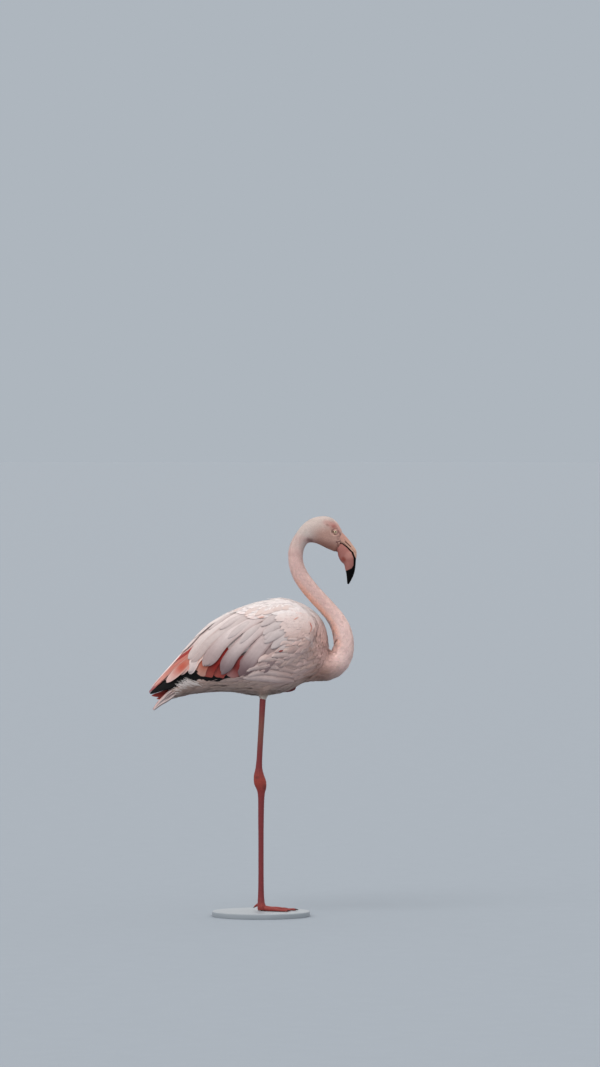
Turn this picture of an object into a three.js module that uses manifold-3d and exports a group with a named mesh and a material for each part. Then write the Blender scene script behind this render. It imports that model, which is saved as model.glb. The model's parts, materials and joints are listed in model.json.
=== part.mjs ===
// A life-size greater flamingo that stands on its right leg, with its neck in an S and its left leg tucked up
// along the belly. It would fall over by itself, so it has a flat round base. Millimetres, +Z up, the beak towards
// +X, the bird's left towards +Y. The origin is in the middle of the base's underside. The bird's own sizes are
// measured from the middle of its sole, and the bird stands in a group of its own on the base.
//
// Every form is a loft. A "profile" is a list of sections seen from the side: the top and the bottom of each
// section, as [x, z], its half width, and how far up it is widest. A "limb" is a list of round sections along a
// path. Neighbouring pieces keep a thin cut of GAP between them.
import * as THREE from 'three';
import { mergeVertices } from 'three/addons/utils/BufferGeometryUtils.js';
import Module from 'manifold-3d';

const wasm = await Module();
wasm.setup();

// ---------------------------------------------------------------- driving dimensions
const GAP = 0.35; // the thin cut between neighbouring pieces
const TURN = 2 * Math.PI;

const BASE = { radius: 110, thickness: 12, bevel: 2.5, sides: 40 };
const BACK_HEIGHT = 707; // top of the back above the sole
const BELLY_HEIGHT = 482; // lowest point of the belly
const HEEL_HEIGHT = 290; // middle of the standing leg's heel joint
const THIGH_HEM = 474; // where the thigh's feathers end and the bare shin starts
const TOE_LENGTH = 78; // middle front toe, without its claw
const EYE_RADIUS = 6.5;
const EYE_PLACE = new THREE.Vector3(167.6, 10.4, 853.4);
const WING_THICKNESS = 10;
const FEATHER_EDGE = 2; // thickness where a feathered form thins out to a rim
const RIM_DEPTH = 3; // how far a wing's inner face starts inside the trunk, before the trunk is cut from it

const COLOURS = {
  plumage: 0xe6d5d1, neck: 0xe3bdb5, wing: 0xead9d6, flight: 0x17140f, tail: 0xe9dcd8, face: 0xdcaea2,
  billPink: 0xd08a80, billPale: 0xe0b8a6, claw: 0x2b2326, eye: 0xe6d9a2, leg: 0xc0616a, joint: 0xc4504c,
  stand: 0x8d949a,
};

// The body without its wings, from the undertail to the breast. The last sections lean forward, so that the
// breast rounds over above the neck.
const TRUNK = [
  { top: [-217, 486], bottom: [-213, 475], half: 7, widest: 0.5 },
  { top: [-206, 516], bottom: [-198, 476], half: 15, widest: 0.5 },
  { top: [-184, 553], bottom: [-172, 484], half: 25, widest: 0.5 },
  { top: [-150, 597], bottom: [-142, 488], half: 37, widest: 0.5 },
  { top: [-110, 638], bottom: [-109, 492], half: 50, widest: 0.5 },
  { top: [-60, 671], bottom: [-62, 491], half: 63, widest: 0.52 },
  { top: [-6, 689], bottom: [-15, BELLY_HEIGHT], half: 72, widest: 0.53 },
  { top: [45, BACK_HEIGHT - 4], bottom: [35, 486], half: 77, widest: 0.54 },
  { top: [84, 697], bottom: [70, 497], half: 74, widest: 0.54 },
  { top: [115, 680], bottom: [94, 512], half: 64, widest: 0.52 },
  { top: [138, 656], bottom: [115, 515], half: 50, widest: 0.5 },
  { top: [149, 628], bottom: [131, 519], half: 37, widest: 0.48 },
  { top: [152, 604], bottom: [142, 530], half: 27, widest: 0.47 },
];
const BREAST_DOME = 6; // how far the breast's last section bulges

// The surface that the folded wings lie on: the trunk, drawn out to the wing tips behind it.
const WING_BED = [
  { top: [-251, 497], bottom: [-248, 483], half: 1.8, widest: 0.5 },
  { top: [-226, 521], bottom: [-221, 473], half: 10.5, widest: 0.52 },
  { top: [-192, 556], bottom: [-189, 478], half: 21, widest: 0.52 },
  { top: [-156, 597.5], bottom: [-150, 489], half: 35, widest: 0.5 },
  ...TRUNK.slice(4).map((section, i) => (i ? section : { ...section, top: [-113, 642], half: 51 })),
];

// Where the folded wing's feathers end below, as [x, z]: the pale coverts and tertials, then the black flight
// feathers that show under them. The left wing droops a little lower at its tip.
const COVERT_EDGE = [
  [-256, 497], [-228, 506], [-205, 513], [-184, 527], [-166, 537], [-140, 532], [-90, 528],
  [-36, 527], [0, 538], [40, 551], [80, 566], [108, 590], [128, 632], [140, 650],
];
const FLIGHT_EDGE = [
  [-256, 490], [-228, 491], [-205, 495], [-190, 508], [-168, 522], [-140, 517], [-110, 515.5], [-60, 521], [-34, 526],
];
const DROOP = { middle: -229, reach: 23, depth: 14 }; // how the left wing's tip hangs lower

// The wing's front: the bed's section index at the wrist, and how high up the section each edge meets there.
const WRIST = { section: 10.1, height: 0.76 };
const BACK_MEETING = 7; // the section from which the two wings meet over the back
const FLIGHT_FRONT = 5.45; // the section where the black stops showing
const FLIGHT_CLEARANCE = 0.9; // between the black feathers and the coverts' edge

const WING_STEP = 0.5; // sections between one station of a wing and the next

const TAIL = [
  { top: [-160, 532], bottom: [-168, 488], half: 19, widest: 0.4 },
  { top: [-192, 508], bottom: [-198, 478], half: 21, widest: 0.4 },
  { top: [-214, 491], bottom: [-214, 466], half: 21, widest: 0.4 },
  { top: [-231, 475], bottom: [-228, 457], half: 17, widest: 0.45 },
  { top: [-241, 458], bottom: [-238, 450.5], half: 9, widest: 0.5 },
];

// The neck, from inside the breast round the U, up the S and over to the nape: [x, z, radius].
const NECK = [
  [92, 562, 38], [120, 553, 37], [145, 549, 33.5], [166, 555, 29.5], [180, 571, 26.5], [186.5, 596, 24.2],
  [184, 621, 23.6], [176, 645, 21.6], [162, 667, 20], [141.5, 690, 19.3], [121, 712, 19.2], [102, 735, 19],
  [86, 760, 18.6], [78.3, 784, 17.6], [77.8, 803, 17], [81.5, 820.5, 16.6], [89.5, 835.5, 16.8],
];
const NECK_CUTS = [0, 0.27, 0.5, 0.73, 1]; // the neck's four lengths, as shares of its control points
const NECK_SIDES = 14;
const NECK_WIDTH = 0.94; // width from side to side against depth from front to back

const HEAD = [
  { top: [75.5, 845], bottom: [104, 827], half: 15.8, widest: 0.5 },
  { top: [91, 866.5], bottom: [110, 829], half: 17.6, widest: 0.5 },
  { top: [110, 881.5], bottom: [119, 828.5], half: 19.6, widest: 0.5 },
  { top: [132, 888], bottom: [131, 824.5], half: 20.4, widest: 0.48 },
  { top: [152, 887.3], bottom: [146, 817], half: 19.8, widest: 0.47 },
  { top: [169.5, 877.5], bottom: [159.5, 811], half: 17, widest: 0.47 },
  { top: [179.5, 862], bottom: [167, 808.5], half: 13.6, widest: 0.45 },
  { top: [184, 850.5], bottom: [171.2, 808], half: 11.6, widest: 0.42 },
];

// The bent bill. The upper half is a lid that lies in the deep lower half, and both turn down at the bend.
const BILL_UPPER = [
  { top: [184.6, 850], bottom: [175.3, 829.5], half: 10.6, widest: 0.35 },
  { top: [191, 843], bottom: [183, 828], half: 10.2, widest: 0.3 },
  { top: [198.5, 834.3], bottom: [191, 823.5], half: 9.8, widest: 0.3 },
  { top: [206.5, 823.3], bottom: [199, 815.5], half: 9.6, widest: 0.3 },
  { top: [213.5, 812], bottom: [206.3, 806.5], half: 9.4, widest: 0.3 },
  { top: [216.8, 801], bottom: [210.4, 798], half: 9, widest: 0.3 },
  { top: [216, 789.5], bottom: [211.3, 788], half: 8.2, widest: 0.3 },
  { top: [214.3, 778], bottom: [209.6, 777], half: 7.2, widest: 0.3 },
  { top: [212.3, 767], bottom: [207.4, 765.5], half: 6, widest: 0.3 },
  { top: [208.8, 756], bottom: [204, 754], half: 4.8, widest: 0.3 },
  { top: [204.3, 745.5], bottom: [200.4, 744], half: 3.5, widest: 0.4 },
  { top: [198.6, 735.6], bottom: [196.6, 735.4], half: 1.4, widest: 0.5 },
];
const BILL_LOWER = [
  { top: [174.6, 828], bottom: [171.8, 807.6], half: 9.4, widest: 0.5 },
  { top: [182.5, 827], bottom: [173.6, 800], half: 11.6, widest: 0.55 },
  { top: [190.5, 822.7], bottom: [177, 791.5], half: 13, widest: 0.58 },
  { top: [198.4, 814.7], bottom: [181.5, 785], half: 13.7, widest: 0.6 },
  { top: [205.7, 805.8], bottom: [186.4, 780.6], half: 13.6, widest: 0.6 },
  { top: [209.7, 797.6], bottom: [188.3, 775], half: 12.8, widest: 0.6 },
  { top: [210.6, 787.7], bottom: [189.3, 770], half: 11.4, widest: 0.6 },
  { top: [208.9, 776.7], bottom: [190.8, 764.5], half: 9.6, widest: 0.6 },
  { top: [206.6, 765.2], bottom: [192, 757.5], half: 7.6, widest: 0.55 },
  { top: [203.2, 753.8], bottom: [193, 749], half: 5.8, widest: 0.5 },
  { top: [199.7, 743.8], bottom: [193.6, 740.6], half: 3.9, widest: 0.5 },
  { top: [196, 735.4], bottom: [194.4, 735.6], half: 1.4, widest: 0.5 },
];

// Limbs: [x, y, z, depth from front to back / 2, width from side to side / 2].
const THIGH = [
  [16, -40, 560, 30, 22], [12, -32, 525, 25, 20], [8, -26, 497, 15, 14], [5.2, -23, 483, 9.5, 9.3],
  [3.8, -21.4, THIGH_HEM, 7.6, 7.4],
];
const SHIN = [
  [4.6, -22.4, THIGH_HEM + 16, 6.5, 6.3], [1.5, -18.4, 430, 5.9, 5.7], [-1.2, -15, 385, 5.6, 5.3],
  [-3.4, -12.4, 345, 5.6, 5.2], [-4.4, -11.2, 323, 6.6, 5.8], [-4.4, -10.6, 304, 8.6, 7],
];
const HEEL = [
  [-4.6, -10.6, 312, 7.6, 6.4], [-4.2, -10, HEEL_HEIGHT + 10, 12, 9.2], [-2, -9.6, HEEL_HEIGHT, 13.4, 10],
  [0.4, -9.2, HEEL_HEIGHT - 10, 11.6, 9], [0.6, -8.6, HEEL_HEIGHT - 21, 8, 6.8],
];
const SHANK = [
  [0.6, -8.8, HEEL_HEIGHT - 14, 8.4, 7], [0.5, -7.6, 250, 6.4, 5.6], [0, -6, 205, 5.8, 5],
  [0, -4, 150, 5.4, 4.6], [0, -2, 95, 5.4, 4.6], [0, -0.6, 50, 5.8, 5], [0, 0, 18, 6.6, 6],
];
const ANKLE = [[0, 0, 27, 6.4, 5.8], [0.4, 0, 17, 8.4, 8.8], [1.6, 0, 8, 10, 10.8], [2, 0, 0, 9.4, 10]];
const ANKLE_SINK = 4; // more than the foot reaches below its sole before it is cut off level
const TOES = [ // heading in degrees, length, radius at the root
  { name: 'inner', heading: 34, length: TOE_LENGTH * 0.86, radius: 4.4 },
  { name: 'middle', heading: 2, length: TOE_LENGTH, radius: 4.8 },
  { name: 'outer', heading: -32, length: TOE_LENGTH * 0.92, radius: 4.4 },
];
const HIND_TOE = [[-3, 3, 15, 3.4, 3.4], [-10, 6, 12, 3, 3], [-15, 8, 8, 2, 2], [-17.5, 9, 5, 0.8, 0.8]];
const CLAW_LENGTH = 8;
const WEB_THICKNESS = 1.6;
const WEB_REACH = 0.9; // how far along the toes the web goes
const WEB_HOLLOW = 0.74; // how far the web's free edge draws back between the toes

// The tucked leg: the heel shows under the tail, the shank lies in the belly's feathers, and the folded toes
// show in front of the belly.
const TUCKED_SHIN = [[-128, 31, 517, 5.6, 5.4], [-154, 25, 506, 5.8, 5.4], [-176, 20, 497.5, 6.8, 6]];
const TUCKED_HEEL = [
  [-176.3, 19.9, 497.4, 6.8, 6], [-187, 18, 491, 10.5, 8.8], [-195, 18.4, 486.5, 8.5, 8], [-199.5, 19, 484, 4, 4],
];
const TUCKED_SHANK = [
  [-184, 25, 486, 7, 6], [-160, 27, 492, 6.2, 5.4], [-100, 31, 497, 5.6, 4.9], [-30, 34, 496, 5.4, 4.7],
  [30, 33, 500, 5.5, 4.8], [58, 31, 508, 6.2, 5.6], [70, 30, 512, 7, 6.8],
];
const TUCKED_TOES = [
  [71, 27, 511, 6, 8], [73.5, 24, 504, 5.4, 9], [66, 23, 499, 4.6, 9], [48, 24, 494, 4, 8.2], [20, 25, 490.5, 3, 6.4],
  [8, 25.4, 489.6, 1.6, 3.4],
];

// ---------------------------------------------------------------- lofts
// Smooth paths through the tops, bottoms and sizes of a profile. section(u) is the section at index u.
function profileOf(list) {
  const path = (pick) => new THREE.CatmullRomCurve3(list.map(pick), false, 'centripetal');
  const tops = path((s) => new THREE.Vector3(s.top[0], 0, s.top[1]));
  const bottoms = path((s) => new THREE.Vector3(s.bottom[0], 0, s.bottom[1]));
  const last = list.length - 1;
  const between = (u, key) => {
    const i = Math.min(Math.floor(u), last - 1);
    const before = list[Math.max(i - 1, 0)][key];
    const after = list[Math.min(i + 2, last)][key];
    return THREE.MathUtils.clamp(
      cubic(before, list[i][key], list[i + 1][key], after, u - i),
      Math.min(list[i][key], list[i + 1][key]) * 0.97,
      Math.max(list[i][key], list[i + 1][key]) * 1.03,
    );
  };
  return {
    last,
    section: (u) => ({
      top: tops.getPoint(u / last), bottom: bottoms.getPoint(u / last), half: between(u, 'half'), widest: between(u, 'widest'),
    }),
  };
}

// Catmull-Rom through b and c.
function cubic(a, b, c, d, t) {
  return b + 0.5 * t * (c - a + t * (2 * a - 5 * b + 4 * c - d + t * (3 * (b - c) + d - a)));
}

// A point on a section. The angle is -90 degrees at its bottom, 0 at its widest on the left and 90 at its top.
function onSection({ top, bottom, half, widest }, angle) {
  const height = Math.sin(angle);
  const point = bottom.clone().lerp(top, widest + height * (height < 0 ? widest : 1 - widest));
  point.y = half * Math.cos(angle);
  return point;
}

// The angle of the point on a section that is this share of the way up it.
function angleAt({ widest }, rise) {
  return Math.asin(THREE.MathUtils.clamp((rise - widest) / (rise < widest ? widest : 1 - widest), -1, 1));
}

// The ring of a section, grown outwards by grow.
function ringOf(section, sides, grow) {
  const up = section.top.clone().sub(section.bottom).normalize().multiplyScalar(grow);
  const grown = { ...section, top: section.top.clone().add(up), bottom: section.bottom.clone().sub(up) };
  grown.half += grow;
  return Array.from({ length: sides }, (_, j) => onSection(grown, (j / sides) * TURN));
}

// A loft of a profile from section `from` to section `to`. A dome rounds the last end off.
function loft(list, { from = 0, to = list.length - 1, rings = 24, sides = 20, grow = 0, dome = 0, tail = 0 } = {}) {
  const profile = profileOf(list);
  const rows = [];
  for (let i = 0; i <= rings; i += 1) {
    rows.push(ringOf(profile.section(from + ((to - from) * i) / rings), sides, grow));
  }
  if (dome) rows.push(...domeOf(rows.at(-1), rows.at(-2), dome + grow));
  if (tail) rows.unshift(...domeOf(rows[0], rows[1], tail + grow).reverse());
  return skin(rows);
}

// Shrinking copies of an end ring that bulge away from the ring before it.
function domeOf(ring, before, depth) {
  const middle = centreOf(ring);
  const out = middle.clone().sub(centreOf(before)).normalize();
  return [30, 55, 75].map((degrees) => {
    const angle = THREE.MathUtils.degToRad(degrees);
    return ring.map((p) => p.clone().sub(middle).multiplyScalar(Math.cos(angle))
      .add(middle).addScaledVector(out, depth * Math.sin(angle)));
  });
}

function centreOf(ring) {
  return ring.reduce((sum, p) => sum.add(p), new THREE.Vector3()).divideScalar(ring.length);
}

// A limb or neck: round sections across a smooth path. `across` is the direction of each section's width.
function limb(stations, { rings = 8, sides = 10, grow = 0, from = 0, to = 1, across = new THREE.Vector3(0, 1, 0) } = {}) {
  const centres = new THREE.CatmullRomCurve3(stations.map(([x, y, z]) => new THREE.Vector3(x, y, z)), false, 'centripetal');
  const sizes = new THREE.CatmullRomCurve3(stations.map(([, , , d, w]) => new THREE.Vector3(d, w, 0)), false, 'centripetal');
  const rows = [];
  for (let i = 0; i <= rings; i += 1) {
    const t = from + ((to - from) * i) / rings;
    const centre = centres.getPoint(t);
    const size = sizes.getPoint(t);
    const along = centres.getTangent(t);
    const wide = across.clone().addScaledVector(along, -across.dot(along)).normalize();
    const deep = wide.clone().cross(along);
    rows.push(Array.from({ length: sides }, (_, j) => {
      const angle = (j / sides) * TURN;
      return centre.clone().addScaledVector(wide, (size.y + grow) * Math.cos(angle))
        .addScaledVector(deep, (size.x + grow) * Math.sin(angle));
    }));
  }
  return skin(rows);
}

// A closed surface over rings of equally many points, with a flat fan on each end.
function skin(rows) {
  const sides = rows[0].length;
  const points = rows.flat();
  const faces = [];
  for (let i = 0; i + 1 < rows.length; i += 1) {
    for (let j = 0; j < sides; j += 1) {
      const a = i * sides + j;
      const b = i * sides + ((j + 1) % sides);
      faces.push(a, b, a + sides, b, b + sides, a + sides);
    }
  }
  const first = points.push(centreOf(rows[0])) - 1;
  const end = points.push(centreOf(rows.at(-1))) - 1;
  const start = (rows.length - 1) * sides;
  for (let j = 0; j < sides; j += 1) {
    const next = (j + 1) % sides;
    faces.push(first, next, j, end, start + j, start + next);
  }
  return facingOut(points, faces);
}

// A geometry from points and faces, turned so that it faces outwards.
function facingOut(points, faces) {
  let volume = 0;
  const cross = new THREE.Vector3();
  for (let i = 0; i < faces.length; i += 3) {
    volume += points[faces[i]].dot(cross.crossVectors(points[faces[i + 1]], points[faces[i + 2]]));
  }
  const index = volume < 0 ? faces.toReversed() : faces;
  return new THREE.BufferGeometry().setFromPoints(points).setIndex(index);
}

// A thin form that lies on the wing bed, on one side, between two edges. low(u) and high(u) are how far up each
// section it reaches, and thick(u, share) is its thickness, share being 0 at the low edge and 1 at the high one.
// Plates have their stations in common, so that two with neighbouring edges stay clear of each other.
function plate({ to, low, high, thick, side, lift, bands }) {
  const bed = profileOf(WING_BED);
  const at = (u, angle) => onSection(bed.section(THREE.MathUtils.clamp(u, 0, bed.last)), angle);
  const outwards = (u, angle) => {
    const along = at(u + 0.05, angle).sub(at(u - 0.05, angle));
    return along.cross(at(u, angle - 0.05).sub(at(u, angle + 0.05))).normalize();
  };
  const stations = Array.from({ length: Math.round(to / WING_STEP) }, (_, i) => (i ? i * WING_STEP : 0.05));
  const layer = (depth) => stations.flatMap((u) => Array.from({ length: bands + 1 }, (_, j) => {
    const section = bed.section(u);
    const angle = THREE.MathUtils.lerp(angleAt(section, low(u)), angleAt(section, high(u)), j / bands);
    const point = at(u, angle).addScaledVector(outwards(u, angle), depth(u, j / bands));
    point.y = side * Math.max(point.y, GAP / 2);
    return point;
  }));
  const points = [...layer((u, share) => GAP + thick(u, share)), ...layer(() => lift)];
  return facingOut(points, sandwich(stations.length - 1, bands));
}

// The faces of two like grids, one over the other, and of the rim between them.
function sandwich(lengths, bands) {
  const row = bands + 1;
  const under = (lengths + 1) * row;
  const faces = [];
  for (let i = 0; i < lengths; i += 1) {
    for (let j = 0; j < bands; j += 1) {
      const a = i * row + j;
      faces.push(a, a + row, a + 1, a + 1, a + row, a + row + 1);
      faces.push(under + a, under + a + 1, under + a + row, under + a + 1, under + a + row + 1, under + a + row);
    }
  }
  const rim = [];
  for (let j = 0; j < bands; j += 1) rim.push(j);
  for (let i = 0; i < lengths; i += 1) rim.push(i * row + bands);
  for (let j = bands; j > 0; j -= 1) rim.push(lengths * row + j);
  for (let i = lengths; i > 0; i -= 1) rim.push(i * row);
  rim.forEach((a, k) => {
    const b = rim[(k + 1) % rim.length];
    faces.push(a, b, under + a, b, under + b, under + a);
  });
  return faces;
}

// ---------------------------------------------------------------- joining and cutting
function solid(geometry) {
  const bare = geometry.clone();
  bare.deleteAttribute('normal');
  bare.deleteAttribute('uv');
  const merged = mergeVertices(bare, 1e-4);
  return new wasm.Manifold(new wasm.Mesh({
    numProp: 3,
    vertProperties: new Float32Array(merged.attributes.position.array),
    triVerts: new Uint32Array(merged.index.array),
  }));
}

function geometryOf(manifold) {
  const { vertProperties, triVerts } = manifold.getMesh();
  return new THREE.BufferGeometry()
    .setAttribute('position', new THREE.BufferAttribute(vertProperties, 3))
    .setIndex(new THREE.BufferAttribute(triVerts, 1));
}

// A solid less its neighbours. What is left is its largest piece.
function cut(geometry, ...neighbours) {
  const rest = neighbours.reduce((left, n) => left.subtract(solid(n)), solid(geometry));
  const pieces = rest.decompose().sort((a, b) => b.volume() - a.volume());
  return geometryOf(pieces[0]);
}

function join(...geometries) {
  return geometryOf(geometries.map(solid).reduce((all, s) => all.add(s)));
}

// ---------------------------------------------------------------- the wings
// The height up a section, as a share, where the section meets an edge drawn from the side.
function riseOfEdge(edge) {
  const bed = profileOf(WING_BED);
  const heightAt = (x) => {
    const i = THREE.MathUtils.clamp(edge.findIndex(([ex]) => ex > x) - 1, 0, edge.length - 2);
    const [x0, z0] = edge[i];
    const [x1, z1] = edge[i + 1];
    return THREE.MathUtils.lerp(z0, z1, THREE.MathUtils.smoothstep(x, x0, x1) * 0.4 + ((x - x0) / (x1 - x0)) * 0.6);
  };
  return (u) => {
    const { top, bottom } = bed.section(u);
    let low = 0;
    let high = 1;
    for (let step = 0; step < 30; step += 1) {
      const middle = (low + high) / 2;
      const point = bottom.clone().lerp(top, middle);
      if (point.z < heightAt(point.x)) low = middle;
      else high = middle;
    }
    return low;
  };
}

// How far up a section the wing reaches: to the middle of the back, and down to the wrist in front.
function wingTop(u) {
  if (u <= BACK_MEETING) return 1;
  const forward = (u - BACK_MEETING) / (WRIST.section - BACK_MEETING);
  return THREE.MathUtils.lerp(1, WRIST.height + 0.03, forward * forward);
}

function wingBottom(u) {
  return Math.min(riseOfEdge(COVERT_EDGE)(u), wingTop(u) - 0.05);
}

function wingThickness(u, share) {
  const along = Math.min(1, 0.25 + u / 2.6) * Math.min(1, (WRIST.section - u) / 1.3 + 0.2);
  const across = Math.min(1, 0.3 + share * 5) * (u > BACK_MEETING - 1 ? Math.min(1, 0.3 + (1 - share) * 5) : 1);
  return Math.max(FEATHER_EDGE, WING_THICKNESS * along * across * (0.78 + 0.22 * Math.sin(share * Math.PI)));
}

function wing(side) {
  const lift = -RIM_DEPTH;
  return cut(plate({
    to: WRIST.section, low: wingBottom, high: wingTop, thick: wingThickness, side, lift, bands: 6,
  }), trunkForm(GAP));
}

// The black flight feathers, from the coverts' edge down. The left tip droops.
function flight(side) {
  const edge = FLIGHT_EDGE.map(([x, z]) => {
    const near = Math.max(0, 1 - ((x - DROOP.middle) / DROOP.reach) ** 2);
    return [x, z - (side > 0 ? DROOP.depth * near : 0)];
  });
  const low = riseOfEdge(edge);
  const coverts = riseOfEdge(COVERT_EDGE);
  const high = (u) => {
    const { top, bottom } = profileOf(WING_BED).section(u);
    return Math.max(coverts(u), low(u) + 0.04) - FLIGHT_CLEARANCE / top.distanceTo(bottom);
  };
  const thick = (u, share) => Math.max(FEATHER_EDGE, 4.5 * Math.min(1, 0.3 + u / 2) * Math.min(1, 0.5 + share));
  const blade = plate({ to: FLIGHT_FRONT, low, high, thick, side, lift: -RIM_DEPTH, bands: 2 });
  return cut(blade, trunkForm(GAP), tailForm(GAP), tuckedRoom.shin, tuckedRoom.heel);
}

// ---------------------------------------------------------------- the feet
// A toe with a flat sole: round above, cut off level below.
function toe({ heading, length, radius }) {
  const angle = THREE.MathUtils.degToRad(heading);
  const ahead = new THREE.Vector3(Math.cos(angle), Math.sin(angle), 0);
  const wide = new THREE.Vector3(-ahead.y, ahead.x, 0);
  const rows = [];
  const steps = 8;
  for (let i = 0; i <= steps; i += 1) {
    const share = i / steps;
    const knuckle = 1 + 0.09 * Math.cos(share * 2 * TURN);
    const r = radius * (1 - 0.42 * share) * knuckle * (i === steps ? 0.7 : 1);
    const rise = radius * 0.55 * (1 - share) ** 2;
    rows.push(Array.from({ length: 8 }, (_, j) => {
      const around = ((j + 0.5) / 8) * TURN;
      const point = ahead.clone().multiplyScalar(length * share).addScaledVector(wide, r * Math.cos(around));
      point.z = Math.max(0, r * 0.8 + rise + (r + rise) * Math.sin(around));
      return point;
    }));
  }
  return skin(rows);
}

// The web between two toes: a thin flat plate with a hollow free edge.
function web(first, second) {
  const tipOf = ({ heading, length }) => {
    const angle = THREE.MathUtils.degToRad(heading);
    return new THREE.Vector2(Math.cos(angle), Math.sin(angle)).multiplyScalar(length * WEB_REACH);
  };
  const a = tipOf(first);
  const b = tipOf(second);
  const hollow = a.clone().add(b).multiplyScalar(0.5 * WEB_HOLLOW);
  const shape = new THREE.Shape();
  shape.moveTo(0, 0);
  shape.lineTo(a.x, a.y);
  shape.quadraticCurveTo(hollow.x, hollow.y, b.x, b.y);
  shape.closePath();
  return new THREE.ExtrudeGeometry(shape, { depth: WEB_THICKNESS, bevelEnabled: false, curveSegments: 6 });
}

function claw({ heading, length, radius }) {
  const angle = THREE.MathUtils.degToRad(heading);
  const at = (forward, z, deep, wide) => [Math.cos(angle) * forward, Math.sin(angle) * forward, z, deep, wide];
  const start = length + GAP;
  const root = radius * 0.42;
  return limb([
    at(start, root + 0.6, root, root * 1.1), at(start + CLAW_LENGTH * 0.5, root + 0.5, root * 0.8, root),
    at(start + CLAW_LENGTH, 1.1, 0.6, 0.8),
  ], { rings: 4, sides: 6, across: new THREE.Vector3(-Math.sin(angle), Math.cos(angle), 0) });
}

function standingFoot(grow = 0) {
  const ankle = limb(ANKLE, { rings: 6, grow });
  if (grow) return ankle;
  const [inner, middle, outer] = TOES;
  const hind = limb(HIND_TOE, { rings: 5, sides: 6 });
  const foot = join(ankle, ...TOES.map(toe), web(inner, middle), web(middle, outer), hind);
  const below = new THREE.BoxGeometry(4 * TOE_LENGTH, 4 * TOE_LENGTH, ANKLE_SINK).translate(0, 0, -ANKLE_SINK / 2);
  return cut(foot, below);
}

// A flat disc with a bevelled top edge.
function base() {
  const { radius, thickness, bevel, sides } = BASE;
  const outline = [[0, 0], [radius, 0], [radius, thickness - bevel], [radius - bevel, thickness], [0, thickness]];
  const disc = new THREE.LatheGeometry(outline.map(([r, z]) => new THREE.Vector2(r, z)), sides);
  return geometryOf(solid(disc.rotateX(TURN / 4)));
}

// ---------------------------------------------------------------- the neck, head and tail
function neckStations() {
  return NECK.map(([x, z, radius]) => [x, 0, z, radius, radius * NECK_WIDTH]);
}

function neckLength(i) {
  const inset = i ? GAP / 900 : 0; // a hair of the neck's length, for the cut
  const piece = limb(neckStations(), {
    from: NECK_CUTS[i] + inset, to: NECK_CUTS[i + 1] - GAP / 900, rings: 6, sides: NECK_SIDES,
  });
  return i ? piece : cut(piece, trunkForm(GAP));
}

function trunkForm(grow = 0) {
  return loft(TRUNK, { rings: 20, sides: 18, grow, dome: BREAST_DOME, tail: 4 });
}

function tailForm(grow = 0) {
  return loft(TAIL, { rings: 7, sides: 10, dome: 2, grow });
}

function eyeBall(side, grow = 0) {
  const ball = new THREE.SphereGeometry(EYE_RADIUS + grow, 10, 7);
  return ball.translate(EYE_PLACE.x, side * EYE_PLACE.y, EYE_PLACE.z);
}

function skullForm(grow = 0) {
  return loft(HEAD, { rings: 13, sides: 14, grow });
}

function head() {
  const nape = limb(neckStations(), { from: 0.9, rings: 4, sides: NECK_SIDES, grow: GAP });
  return cut(skullForm(), eyeBall(-1, GAP), eyeBall(1, GAP), nape);
}

function upperBill(grow = 0) {
  return loft(BILL_UPPER, { rings: 14, sides: 12, grow });
}

function tuckedPieces(grow = 0) {
  return {
    shin: limb(TUCKED_SHIN, { grow, rings: 3, sides: 8 }),
    heel: limb(TUCKED_HEEL, { grow, rings: 6, sides: 8 }),
    shank: limb(TUCKED_SHANK, { grow, rings: 9, sides: 8 }),
    toes: limb(TUCKED_TOES, { grow, rings: 7, sides: 8 }),
  };
}

// ---------------------------------------------------------------- the bird
const finish = (colour, roughness) => new THREE.MeshStandardMaterial({ color: colour, roughness, metalness: 0 });
const finishes = {
  plumage: finish(COLOURS.plumage, 0.85), neck: finish(COLOURS.neck, 0.85), wing: finish(COLOURS.wing, 0.75),
  flight: finish(COLOURS.flight, 0.5), tail: finish(COLOURS.tail, 0.75), face: finish(COLOURS.face, 0.7),
  billPink: finish(COLOURS.billPink, 0.4), billPale: finish(COLOURS.billPale, 0.4), claw: finish(COLOURS.claw, 0.4),
  eye: finish(COLOURS.eye, 0.1), leg: finish(COLOURS.leg, 0.6), joint: finish(COLOURS.joint, 0.6),
  stand: finish(COLOURS.stand, 0.6),
};

const object = new THREE.Group();
const bird = new THREE.Group();
bird.position.z = BASE.thickness + GAP;
object.add(bird);
function place(name, geometry, look, group = bird) {
  const mesh = new THREE.Mesh(geometry, finishes[look]);
  mesh.name = name;
  group.add(mesh);
}

place('stand_base', base(), 'stand', object);

const tucked = tuckedPieces();
const tuckedRoom = tuckedPieces(GAP);
const thigh = limb(THIGH, { sides: 14 });
const thighRoom = limb(THIGH, { sides: 14, grow: GAP });

place('trunk', cut(trunkForm(), ...Object.values(tuckedRoom)), 'plumage');
place('thigh_right', cut(thigh, trunkForm(GAP)), 'plumage');
for (const [name, side] of [['right', -1], ['left', 1]]) {
  place(`wing_${name}`, wing(side), 'wing');
  place(`flight_feathers_${name}`, flight(side), 'flight');
  place(`eye_${name}`, eyeBall(side), 'eye');
}
place('tail', cut(tailForm(), trunkForm(GAP), tuckedRoom.shin, tuckedRoom.heel, tuckedRoom.shank), 'tail');
for (let i = 0; i + 1 < NECK_CUTS.length; i += 1) place(`neck_${i + 1}`, neckLength(i), 'neck');
place('head', head(), 'face');
place('bill_upper', cut(upperBill(), skullForm(GAP)), 'billPale');
place('bill_lower', cut(loft(BILL_LOWER, { rings: 14, sides: 12 }), upperBill(GAP), skullForm(GAP)), 'billPink');

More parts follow.
